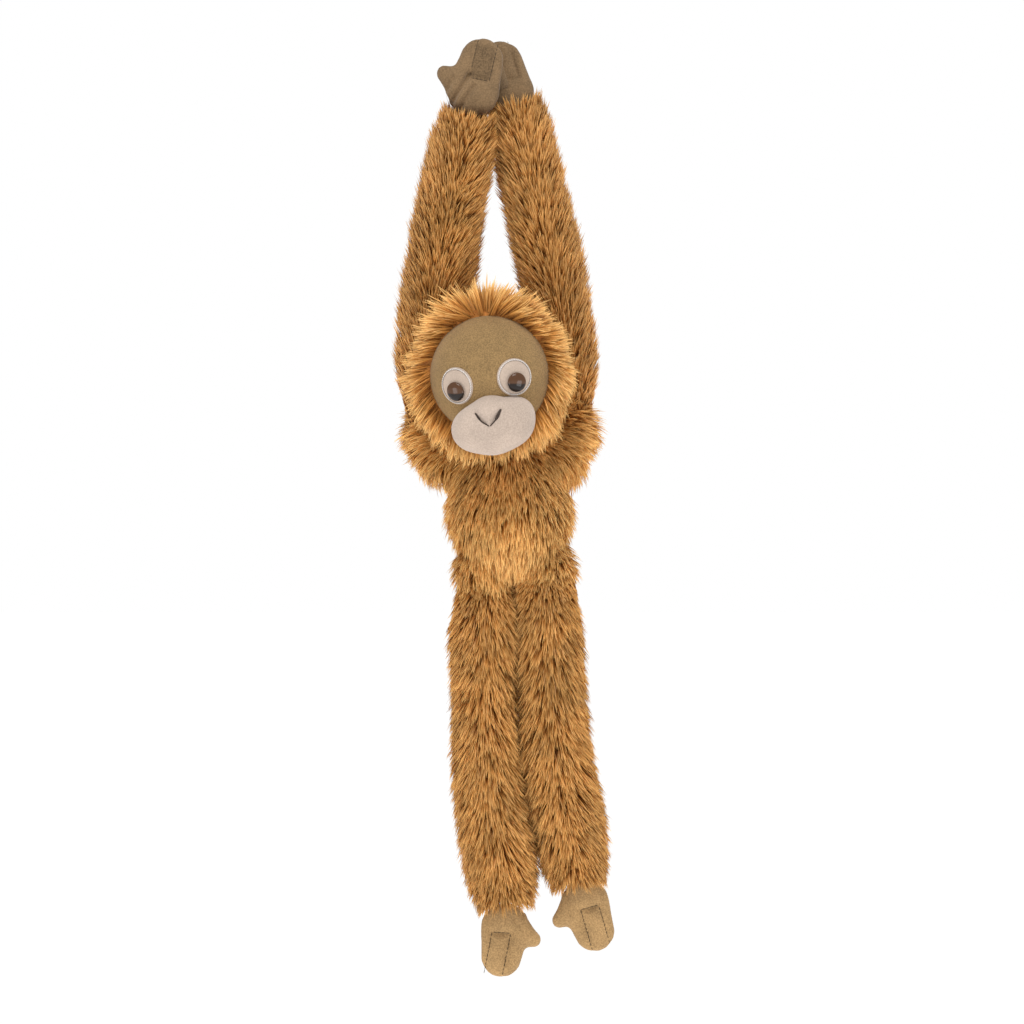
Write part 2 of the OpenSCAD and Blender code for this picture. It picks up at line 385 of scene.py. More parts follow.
def nap_group() -> bpy.types.NodeTree:
    """Group for short velour: fine flecks where the nap parts, broad strokes where it was brushed.

    Where the Strand map's u is high the velour is darker, by the share that Darkening gives.
    """
    group, start, end = new_group(
        "Velour nap",
        {"Colour": (0.5, 0.4, 0.25), "Fleck": 0.3, "Brushed": 0.15, "Nap scale": 900.0, "Darkening": 0.0},
        {"Color": "Color", "Height": "Float", "Roughness": "Float"},
    )
    place = add_node(group, "TexCoord").outputs["Object"]
    grain = {"Vector": place, "Scale": start.outputs["Nap scale"], "Detail": 3.0}
    fine = add_node(group, "TexNoise", grain).outputs[0]
    slow = object_noise(group, 90.0, 2.0)
    fleck = maths(group, "MULTIPLY", remap(group, fine, 0.32, 0.68, -0.5, 0.5), start.outputs["Fleck"])
    brush = maths(group, "MULTIPLY", remap(group, slow, 0.3, 0.7, -0.5, 0.5), start.outputs["Brushed"])
    # Over a hand's stitched square the Strand map's u is high, and the velour is darker there.
    darkening = maths(group, "MULTIPLY", strand_map(group).outputs[0], start.outputs["Darkening"])
    tone = maths(group, "SUBTRACT", maths(group, "ADD", maths(group, "ADD", fleck, brush), 1.0), darkening)
    group.links.new(shaded(group, start.outputs["Colour"], tone), end.inputs["Color"])
    group.links.new(fine, end.inputs["Height"])
    group.links.new(remap(group, slow, 0.2, 0.8, 0.82, 0.95), end.inputs["Roughness"])
    return group


def twist_group() -> bpy.types.NodeTree:
    """Group for sewing thread: slanted plies from the Strand map, whose v runs along the thread; each ply has
    painted light on its crest and painted shade in its groove.
    """
    group, start, end = new_group(
        "Thread twist", {"Colour": (0.1, 0.08, 0.05), "Plies": 60.0}, {"Color": "Color", "Height": "Float"}
    )
    parts = strand_map(group)
    along = maths(group, "MULTIPLY", parts.outputs[1], start.outputs["Plies"])
    ramp = maths(group, "ADD", along, maths(group, "MULTIPLY", parts.outputs[0], 2.0))
    ply = maths(group, "SINE", maths(group, "MULTIPLY", ramp, FULL_TURN))
    # Painted light and shade: the colour is lighter on each ply's crest and darker in the grooves between
    # plies.
    shade = remap(group, ply, -1.0, 1.0, 0.65, 1.15)
    group.links.new(shaded(group, start.outputs["Colour"], shade), end.inputs["Color"])
    group.links.new(ply, end.inputs["Height"])
    return group


def eye_group() -> bpy.types.NodeTree:
    """Group for a plastic eye: brown above, where a painted reflection of the bright room lies on its own
    dark brown, and nearly black below a soft line, from the Strand map's v.
    """
    group, start, end = new_group(
        "Eye gloss", {"Upper with painted reflection": (0.06, 0.03, 0.015), "Lower": (0.01, 0.006, 0.004), "Line": -0.1},
        {"Color": "Color", "Roughness": "Float"},
    )
    parts = strand_map(group)
    # The upper half's brown is a painted reflection of the bright room on the eye's dark brown.
    wave = remap(group, parts.outputs[0], -1.0, 1.0, -0.12, 0.12)
    height = maths(group, "SUBTRACT", maths(group, "ADD", parts.outputs[1], wave), start.outputs["Line"])
    share = remap(group, height, -0.10, 0.10, 0.0, 1.0)
    colour = mix_colours(group, share, start.outputs["Lower"], start.outputs["Upper with painted reflection"])
    group.links.new(colour, end.inputs["Color"])
    group.links.new(remap(group, object_noise(group, 300.0), 0.0, 1.0, 0.10, 0.16), end.inputs["Roughness"])
    return group


def moulded_group() -> bpy.types.NodeTree:
    """Group for small moulded plastic: a cloudy tone and a faint grain."""
    group, start, end = new_group(
        "Moulded plastic", {"Colour": (0.8, 0.78, 0.7)},
        {"Color": "Color", "Height": "Float", "Roughness": "Float"},
    )
    cloud = object_noise(group, 400.0, 3.0)
    shade = remap(group, cloud, 0.2, 0.8, 0.9, 1.05)
    group.links.new(shaded(group, start.outputs["Colour"], shade), end.inputs["Color"])
    group.links.new(object_noise(group, 2500.0), end.inputs["Height"])
    group.links.new(remap(group, cloud, 0.2, 0.8, 0.35, 0.5), end.inputs["Roughness"])
    return group


@dataclass(frozen=True)
class Finish:
    """A finish: which group makes its pattern, the group's values, and the shader's own constants.

    Args:
        name: the material's name.
        pattern: the node group's name.
        values: the group's inputs.
        shader: constants set on the Principled BSDF's own sockets.
        bump_mm: height of the bump in millimetres, or 0 for none.
    """

    name: str
    pattern: str
    values: dict
    shader: dict = field(default_factory=dict)
    bump_mm: float = 0.0

    def material(self) -> bpy.types.Material:
        """Builds the material once and gives it back after that.

        Returns:
            The material.
        """
        known = bpy.data.materials.get(self.name)
        if known:
            return known
        material = bpy.data.materials.new(self.name)
        material.use_nodes = True
        tree = material.node_tree
        shader = tree.nodes["Principled BSDF"]
        for key, value in self.shader.items():
            shader.inputs[key].default_value = value
        pattern = tree.nodes.new("ShaderNodeGroup")
        pattern.node_tree = bpy.data.node_groups[self.pattern]
        for key, value in self.values.items():
            pattern.inputs[key].default_value = rgba(value) if isinstance(value, tuple) else value
        tree.links.new(pattern.outputs["Color"], shader.inputs["Base Color"])
        if "Roughness" in pattern.outputs:
            tree.links.new(pattern.outputs["Roughness"], shader.inputs["Roughness"])
        if self.bump_mm:
            relief = {"Height": pattern.outputs["Height"], "Distance": self.bump_mm * MM}
            bump = add_node(tree, "Bump", relief)
            tree.links.new(bump.outputs[0], shader.inputs["Normal"])
        return material


def long_pile(name: str, root: tuple, middle: tuple, tip: tuple, tone: float, sheen: float) -> Finish:
    """Describes long pile by its colours from root to tip, how far its tones spread, and its sheen."""
    return Finish(
        name, "Pile locks", {"Root": root, "Middle": middle, "Tip": tip, "Tone": tone},
        {
            "Specular IOR Level": 0.25, "Sheen Weight": sheen, "Sheen Roughness": 0.4,
            "Sheen Tint": rgba((1.0, 0.8, 0.5)),
        },
    )


def velour(
    name: str, colour: tuple, nap: tuple[float, float, float], shader: dict, bump_mm: float, darkening: float = 0.0
) -> Finish:
    """Describes short nap by its colour and its nap: how flecked, how brushed, how fine in cells a metre."""
    fleck, brushed, scale = nap
    values = {"Colour": colour, "Fleck": fleck, "Brushed": brushed, "Nap scale": scale, "Darkening": darkening}
    return Finish(name, "Velour nap", values, shader, bump_mm)


def thread(name: str, colour: tuple, plies: float, roughness: float, bump_mm: float) -> Finish:
    """Describes sewing thread by its colour, its turns of ply and how rough it is."""
    return Finish(name, "Thread twist", {"Colour": colour, "Plies": plies}, {"Roughness": roughness}, bump_mm)


def dull(specular: float, sheen: float, sheen_roughness: float = 0.45) -> dict:
    """Gives the shader constants of a cloth with little shine."""
    return {"Specular IOR Level": specular, "Sheen Weight": sheen, "Sheen Roughness": sheen_roughness}


# Each pile's Tip colour is the tips' own lighter colour with painted light added for light shining through
# them.
LONG_PILE = long_pile(
    "Golden orange long pile", (0.37, 0.140, 0.028), (0.57, 0.250, 0.050), (0.88, 0.53, 0.18), 0.42, 0.08
)
HEAD_PILE = long_pile(
    "Light golden long pile", (0.48, 0.200, 0.042), (0.58, 0.262, 0.056), (0.86, 0.52, 0.18), 0.40, 0.08
)
# A darker, redder copy of the long pile for the arms and legs: its darkening is painted shade, the shade on
# the limbs' fronts between the side lights.
SHADED_LIMB_PILE = long_pile(
    "Brown orange long pile, painted shade", (0.28, 0.095, 0.017), (0.43, 0.168, 0.030), (0.69, 0.375, 0.115), 0.42, 0.06
)
BACKING = velour("Knitted backing", (0.36, 0.140, 0.033), (0.6, 0.3, 500.0), {"Specular IOR Level": 0.2}, 0.6)
TAN_VELOUR = velour("Tan velour", (0.255, 0.160, 0.068), (0.50, 0.12, 1500.0), dull(0.12, 0.08), 0.4)
# The hand velour is darker by 0.26 over the stitched square on its seen face.
HAND_VELOUR = velour("Hand velour", (0.178, 0.113, 0.058), (0.40, 0.22, 1300.0), dull(0.12, 0.2), 0.2, 0.26)
FOOT_VELOUR = velour("Foot velour", (0.37, 0.228, 0.100), (0.42, 0.22, 1300.0), dull(0.12, 0.25), 0.2)
MUZZLE_VELOUR = velour(
    "Pale muzzle velour", (0.438, 0.348, 0.284), (0.20, 0.10, 1300.0), dull(0.1, 0.2, 0.5), 0.15
)
FELT = velour(
    "Pale eye felt", (0.450, 0.355, 0.285), (0.16, 0.10, 1500.0),
    {"Specular IOR Level": 0.1, "Sheen Weight": 0.15}, 0.15,
)
RIM_THREAD = thread("White rim thread", (0.72, 0.66, 0.62), 46.0, 0.6, 0.12)
SEAM_THREAD = thread("Brown seam thread", (0.105, 0.068, 0.036), 26.0, 0.75, 0.12)
NOSTRIL_THREAD = thread("Dark nostril thread", (0.045, 0.024, 0.014), 14.0, 0.5, 0.15)
HOOK_TAPE = velour(
    "Brown hook tape", (0.09, 0.06, 0.035), (0.3, 0.1, 2000.0), {"Specular IOR Level": 0.4}, 0.1
)
LOOP_TAPE = velour(
    "Brown loop tape", (0.17, 0.110, 0.058), (0.5, 0.3, 1500.0),
    {"Specular IOR Level": 0.2, "Sheen Weight": 0.3}, 0.2,
)
# The upper colour is a painted reflection of the bright room above, laid on the eye's own dark brown; Lower
# is its own near black.
EYE_GLOSS = Finish(
    "Glossy brown eye", "Eye gloss",
    {"Upper with painted reflection": (0.085, 0.040, 0.020), "Lower": (0.014, 0.009, 0.007), "Line": -0.12},
    {"Specular IOR Level": 0.22, "Coat Weight": 0.06, "Coat Roughness": 0.03},
)
WASHER = Finish("Ivory washer plastic", "Moulded plastic", {"Colour": (0.75, 0.72, 0.62)}, {}, 0.05)


# ---------------------------------------------------------------- how a piece belongs to the frame


@dataclass(frozen=True)
class Bend:
    """A stretch of fabric that lies across one joint.

    Args:
        near: the body before start. It is not used.
        far: the body after end. It is not used.
        start: place where the bend starts.
        end: place where the bend ends.
    """

    near: str
    far: str
    start: tuple
    end: tuple


def belong(piece: bpy.types.Object, to: "str | Bend") -> None:
    """Makes a piece follow a body; a piece on a bend has its transform baked where it stands.

    Args:
        piece: a finished piece.
        to: the body's name, or the bend.
    """
    if isinstance(to, Bend):
        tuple(to.start)
        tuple(to.end)
        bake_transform(piece)
    else:
        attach(piece, to)


def dress(
    piece: bpy.types.Object, finish: Finish, replaces: Sequence[str] = ()
) -> bpy.types.Object:
    """Gives a piece its finish and hides the CAD nodes it stands for.

    Args:
        piece: the new piece.
        finish: what it is made of.
        replaces: the CAD nodes.

    Returns:
        The same piece.
    """
    piece.data.materials.append(finish.material())
    if replaces:
        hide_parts(*replaces)
    return piece


def add_piece(
    name: str, shape: Shape, finish: Finish, to: "str | Bend", replaces: Sequence[str] = (),
) -> None:
    """Makes a piece of a shape, dresses it and makes it follow its body, or bakes it in place on a bend.

    Args:
        name: the piece's name.
        shape: its form.
        finish: what it is made of.
        to: the body that it rides on, or the bend.
        replaces: the CAD nodes it stands for.
    """
    piece = dress(make_mesh(name, shape), finish, replaces)
    belong(piece, to)


def refinish(node: str, finish: Finish) -> None:
    """Gives a CAD node that stays its own finish, in every material slot it has."""
    for holder in bpy.data.objects[node].material_slots:
        holder.material = finish.material()


# ---------------------------------------------------------------- sewn and stuffed velour


def spline(points: Array, count: int) -> Array:
    """Runs a Catmull-Rom curve through the points and samples it evenly in its parameter.

    Args:
        points: places, with the curve's ends at the first and the last.
        count: how many samples to take.

    Returns:
        The samples, count by 3.
    """
    p = np.vstack([2 * points[0] - points[1], points, 2 * points[-1] - points[-2]])
    s = np.linspace(0, len(points) - 1 - 1e-9, count)
    k = s.astype(int)
    t = (s - k)[:, None]
    a, b, c, d = p[k], p[k + 1], p[k + 2], p[k + 3]
    bend = (2 * a - 5 * b + 4 * c - d) * t**2 + (3 * b - a - 3 * c + d) * t**3
    return 0.5 * (2 * b + (c - a) * t + bend)


def ray_skin(depth: Callable, centre: Array, rows: int, columns: int, reach: float = 0.12) -> Shape:
    """Makes the skin of a form by finding, along rays from its centre, where its depth is zero.

    Each ray's near and far ends close in on the skin by halves.

    Args:
        depth: gives for places a number that is negative inside the form.
        centre: a place that sees the whole skin.
        rows: rays from pole to pole.
        columns: rays round.
        reach: length of a ray.

    Returns:
        The closed skin.
    """
    polar = np.linspace(0.02, np.pi - 0.02, rows)[:, None]
    turn = np.linspace(0, FULL_TURN, columns, endpoint=False)[None, :]
    ray = np.stack([np.sin(polar) * np.cos(turn), np.sin(polar) * np.sin(turn), np.cos(polar) + 0 * turn], -1)
    near, far = np.zeros(ray.shape[:2]), np.full(ray.shape[:2], reach)
    for _ in range(HALVINGS):
        half = (near + far) / 2
        inside = depth(centre + ray * half[..., None]) < 0
        near, far = np.where(inside, half, near), np.where(inside, far, half)
    return capped_grid(centre + ray * ((near + far) / 2)[..., None])


def read_mesh(mesh: bpy.types.Mesh) -> Shape:
    """Reads a mesh of quads back into arrays.

    Args:
        mesh: made of quads only.

    Returns:
        Its vertices and quads.
    """
    verts = np.empty(len(mesh.vertices) * 3, np.float32)
    mesh.vertices.foreach_get("co", verts)
    corners = np.empty(len(mesh.loops), np.int32)
    mesh.loops.foreach_get("vertex_index", corners)
    return Shape(verts.reshape(-1, 3).astype(float), corners.reshape(-1, 4).astype(np.int64))


def evaluated(piece: bpy.types.Object) -> Shape:
    """Gives the shape that a piece has after its modifiers.

    Args:
        piece: with its modifiers live.

    Returns:
        Its vertices and quads.
    """
    seen = piece.evaluated_get(bpy.context.evaluated_depsgraph_get())
    shape = read_mesh(seen.to_mesh())
    seen.to_mesh_clear()
    return shape


@dataclass(frozen=True)
class Stuffing:
    """How hard a sewn skin is stuffed.

    Args:
        voxel: size of the even mesh that the cloth is simulated on.
        pressure: of the stuffing.
        cap: the furthest that the cloth may move.
        frames: how long it is given to settle.
        scale: the simulation's own scale, as cloth settles better at that of a pillow.
    """

    voxel: float = 1.3 * MM
    pressure: float = 5.0
    cap: float = 1.6 * MM
    frames: int = 20
    scale: float = 10.0

    def swell(self, shape: Shape, sewn: Callable) -> Shape:
        """Blows a closed skin up as cloth that is held where it is sewn, and smooths it once.

        Args:
            shape: the skin, a little smaller than the stuffed piece.
            sewn: gives for places whether the cloth is held there.

        Returns:
            The stuffed skin, of quads.
        """
        piece = make_mesh("stuffing_form", Shape(shape.verts * self.scale, shape.quads, shape.tris))
        remesh = piece.modifiers.new("even", "REMESH")
        remesh.mode, remesh.voxel_size = "VOXEL", self.voxel * self.scale
        even = evaluated(piece)
        bpy.data.objects.remove(piece)
        even = self.simulate(even, sewn(even.verts / self.scale))
        piece = make_mesh("stuffing_form", even)
        smooth = piece.modifiers.new("smooth", "SUBSURF")
        smooth.levels = smooth.render_levels = 1
        done = evaluated(piece)
        bpy.data.objects.remove(piece)
        return Shape(done.verts / self.scale, done.quads)

    def simulate(self, even: Shape, held: Array) -> Shape:
        """Runs the cloth under pressure with no gravity, and caps how far each place moves.

        Args:
            even: the even mesh, at the simulation's scale.
            held: tells of each vertex whether it is sewn down.

        Returns:
            The swollen mesh, of the same quads.
        """
        piece = make_mesh("stuffing_form", even)
        group = piece.vertex_groups.new(name="sewn")
        group.add(np.flatnonzero(held).tolist(), 1.0, "REPLACE")
        cloth = piece.modifiers.new("cloth", "CLOTH")
        cloth.settings.quality = 6
        cloth.settings.mass = 0.25
        cloth.settings.use_pressure = True
        cloth.settings.uniform_pressure_force = self.pressure
        cloth.settings.vertex_group_mass = "sewn"
        cloth.settings.effector_weights.gravity = 0.0
        cloth.collision_settings.use_collision = False
        cloth.point_cache.frame_start, cloth.point_cache.frame_end = 1, self.frames
        scene = bpy.context.scene
        for number in range(1, self.frames + 1):
            scene.frame_set(number)
        moved = evaluated(piece).verts - even.verts
        scene.frame_set(1)
        bpy.data.objects.remove(piece)
        far = np.linalg.norm(moved, axis=1, keepdims=True)
        limit = self.cap * self.scale
        return Shape(even.verts + moved * np.minimum(1.0, limit / np.maximum(far, 1e-9)), even.quads)


def segment_distance(places: Array, a: Sequence[float], b: Sequence[float]) -> Array:
    """Gives the distance of places to a segment, in as many dimensions as its ends have.

    Args:
        places: any number of places, with their coordinates along the last axis.
        a: one end of the segment.
        b: its other end.

    Returns:
        One distance for each place.
    """
    a, b = np.array(a, float), np.array(b, float)
    p = places[..., : len(a)] - a
    t = np.clip(p @ (b - a) / ((b - a) @ (b - a)), 0, 1)
    return np.linalg.norm(p - t[..., None] * (b - a), axis=-1)


def thread_tube(
    path: Array, up: Array, radius: "float | Array", closed: bool = False, around: int = 8
) -> Shape:
    """Runs a round thread along a path: ring = path + r (cos a side - sin a up).

    Args:
        path: the thread's middle line.
        up: directions away from the cloth.
        radius: of the thread, one or one for each place.
        closed: joins the path's end to its start.
        around: sides of the thread.

    Returns:
        The thread, with a pole at each end unless it is closed.
    """
    way = unit(np.roll(path, -1, 0) - np.roll(path, 1, 0)) if closed else unit(np.gradient(path, axis=0))
    side = unit(np.cross(up, way))
    above = np.cross(way, side)
    a = np.linspace(0, FULL_TURN, around, endpoint=False)[None, :, None]
    thick = np.broadcast_to(np.asarray(radius, float), (len(path),))[:, None, None]
    rings = path[:, None] + thick * (np.cos(a) * side[:, None] - np.sin(a) * above[:, None])
    if not closed:
        return capped_grid(rings)
    return capped_grid(np.concatenate([rings, rings[:1]]), False, False)


def sew(path: Array, up: Array, stitch: float, gap: float, radius: float) -> Shape:
    """Sews a run of stitches along a path.

    Each stitch rises from the cloth and dips back into it: height = r (1.5 sin(pi u) - 0.7), u from 0 to 1.

    Args:
        path: places on the cloth.
        up: outward normals there.
        stitch: length of a stitch.
        gap: between stitches.
        radius: of the thread.

    Returns:
        All the stitches in one shape.
    """
    run = np.concatenate([[0], np.cumsum(np.linalg.norm(np.diff(path, axis=0), axis=1))])
    count = max(1, int((run[-1] + gap) / (stitch + gap)))
    first = (run[-1] + gap - count * (stitch + gap)) / 2
    u = np.linspace(0, 1, 6)
    arch = np.sin(np.pi * u)
    made = []
    for number in range(count):
        s = first + number * (stitch + gap) + u * stitch
        place = np.stack([np.interp(s, run, path[:, k]) for k in range(3)], 1)
        out = unit(np.stack([np.interp(s, run, up[:, k]) for k in range(3)], 1))
        height = radius * (1.5 * arch - 0.7)
        made.append(thread_tube(place + out * height[:, None], out, radius * (0.6 + 0.4 * arch), around=6))
    return join(made)



# ---------------------------------------------------------------- the pile


@dataclass(frozen=True)
class PileCut:
    """How a stretch of plush is knitted and cut.

    Args:
        length: of a blade.
        spacing: between locks.
        per_lock: blades in a lock.
        width: of a blade at its root.
        stand: share of the surface's outward direction in the way a blade points at its tip.
        gather: how far a lock's tips close up, from 0 to 1.
        stray: how far a blade leaves its lock, as a share of its length.
        swirl: spread of a lock's heading about the flow, in radians.
    """

    length: float = 17 * MM
    spacing: float = 1.35 * MM
    per_lock: int = 4
    width: float = 0.62 * MM
    stand: float = 0.30
    gather: float = 0.12
    stray: float = 0.045
    swirl: float = 0.09


# Where a blade has its rows of corners, from root to tip, and how wide it is there. Its tip is one point.
BLADE_STEPS = np.array([0.0, 0.32, 0.62, 0.85])
BLADE_WIDTHS = np.array([0.9, 1.0, 0.8, 0.48])
ROOT_LEAN = 0.75   # how far a blade leans over to the flow at its root, against its rise
LOCK_TONE = 0.25   # how much of a blade's tone it shares with its lock
BLADE_TONE = 0.33  # spread of a blade's own tone

HOOKS = PileCut(0.8 * MM, 0.95 * MM, 1, 0.22 * MM, 1.2, 0.0, 0.05, 3.1)
LOOPS = PileCut(0.8 * MM, 0.90 * MM, 3, 0.12 * MM, 0.8, 0.1, 0.30, 3.1)


def scatter(
    cover: Shape, spacing: float, rng: np.random.Generator, keep: Optional[Callable] = None
) -> tuple[Array, Array]:
    """Scatters points over a cover, one for each square of side spacing.

    Args:
        cover: the skin that the pile stands on.
        spacing: the distance between points.
        rng: the source of chance.
        keep: gives for an array of places the chance that each keeps its point.

    Returns:
        The places and the outward normals there.
    """
    tris = cover.triangles()
    a, b, c = (cover.verts[tris[:, k]] for k in range(3))
    area = np.linalg.norm(np.cross(b - a, c - a), axis=1) / 2
    count = int(area.sum() / spacing**2)
    pick = rng.choice(len(tris), count, p=area / area.sum())
    s, t = np.sqrt(rng.random(count)), rng.random(count)
    weights = np.stack([1 - s, s * (1 - t), s * t], 1)
    normal = cover.normals()[tris[pick]]
    places = np.einsum("nk,nkc->nc", weights, cover.verts[tris[pick]])
    normals = unit(np.einsum("nk,nkc->nc", weights, normal))
    if keep is None:
        return places, normals
    kept = rng.random(count) < keep(places)
    return places[kept], normals[kept]


def grow(
    name: str, cover: Shape, cut: PileCut, flow: Callable, seed: int, keep: Optional[Callable] = None,
    trim: Optional[Callable] = None, finish: Optional[Finish] = None,
) -> bpy.types.Object:
    """Grows the pile on a cover.

    A lock rises along its normal and bends over to the flow: place = root + L (d0 (t - t^2/2) + d1 t^2/2)
    for t from 0 to 1. Its blades start round the lock's root and close up towards its tip.

    Args:
        name: the piece's name.
        cover: the skin that the pile stands on.
        cut: how the pile is cut.
        flow: gives for places and normals the way that the pile is combed.
        seed: starts the source of chance.
        keep: gives for places the chance that a lock stands there.
        trim: gives for places the length there as a share of the cut's.
        finish: the pile's finish, or none for the long pile's.

    Returns:
        The piece of pile.
    """
    rng = np.random.default_rng(seed)
    root, normal = scatter(cover, cut.spacing, rng, keep)
    locks, each = len(root), cut.per_lock
    heading = unit(flatten_to(flow(root, normal), normal))
    across = np.cross(normal, heading)
    turn = rng.normal(0, cut.swirl, (locks, 1))
    c, s = np.cos(turn), np.sin(turn)
    heading, across = heading * c + across * s, across * c - heading * s
    length = cut.length * (trim(root) if trim else np.ones(locks)) * rng.uniform(0.85, 1.08, locks)
    stand = (cut.stand * rng.uniform(0.8, 1.2, locks))[:, None]
    rise = unit(normal + ROOT_LEAN * heading)
    over = unit(stand * normal + (1 - 0.55 * stand) * heading + rng.normal(0, 0.04, (locks, 3)))
    lock_tone = rng.random(locks)

    def per_blade(v: Array) -> Array:
        """Gives every blade its lock's value."""
        return np.repeat(v, each, axis=0)

    count = locks * each
    reach = cut.spacing * 0.62 * np.abs(rng.normal(0, 1, (count, 1)))
    angle = rng.uniform(0, 2 * np.pi, (count, 1))
    offset = reach * (np.cos(angle) * per_blade(heading) + np.sin(angle) * per_blade(across))
    own = per_blade(length)[:, None] * rng.uniform(0.60, 1.0, (count, 1)) ** 0.8
    stray = rng.normal(0, cut.stray, (count, 3)) * own
    roll = rng.uniform(-1.1, 1.1, (count, 1))
    n, d0, d1 = per_blade(normal), per_blade(rise), per_blade(over)
    start = per_blade(root) + offset

    def place(t: float) -> Array:
        """Gives where each blade is at t of its length."""
        bend = own * (d0 * (t - t * t / 2) + d1 * t * t / 2)
        return start + bend - offset * cut.gather * t**1.2 + stray * t * t

    rows = []
    for t, share in zip(BLADE_STEPS, BLADE_WIDTHS):
        way = unit(d0 * (1 - t) + d1 * t)
        side = unit(np.cross(way, n))
        side = unit(side * np.cos(roll) + np.cross(way, side) * np.sin(roll))
        half = side * cut.width * share / 2
        middle = place(t)
        rows += [middle - half, middle + half]
    rows.append(place(1.0))
    verts = np.stack(rows, 1).reshape(-1, 3)
    first = np.arange(count)[:, None] * len(rows)
    quads = np.concatenate([first + np.array([2 * k, 2 * k + 1, 2 * k + 3, 2 * k + 2]) for k in range(3)])
    tris = first + np.array([6, 7, 8])
    shared = (per_blade(lock_tone) - 0.5) * LOCK_TONE
    tone = np.clip(0.5 + shared + rng.normal(0, BLADE_TONE, count), 0, 1)
    along = np.concatenate([np.repeat(BLADE_STEPS, 2), [1.0]])
    uv = np.stack([np.repeat(tone, len(rows)), np.tile(along, count)], 1)
    piece = dress(make_mesh(name, Shape(verts, quads, tris, uv)), finish or LONG_PILE)
    LOG.info("%s: %d locks, %d triangles", name, locks, count * 7)
    return piece


# ---------------------------------------------------------------- limbs


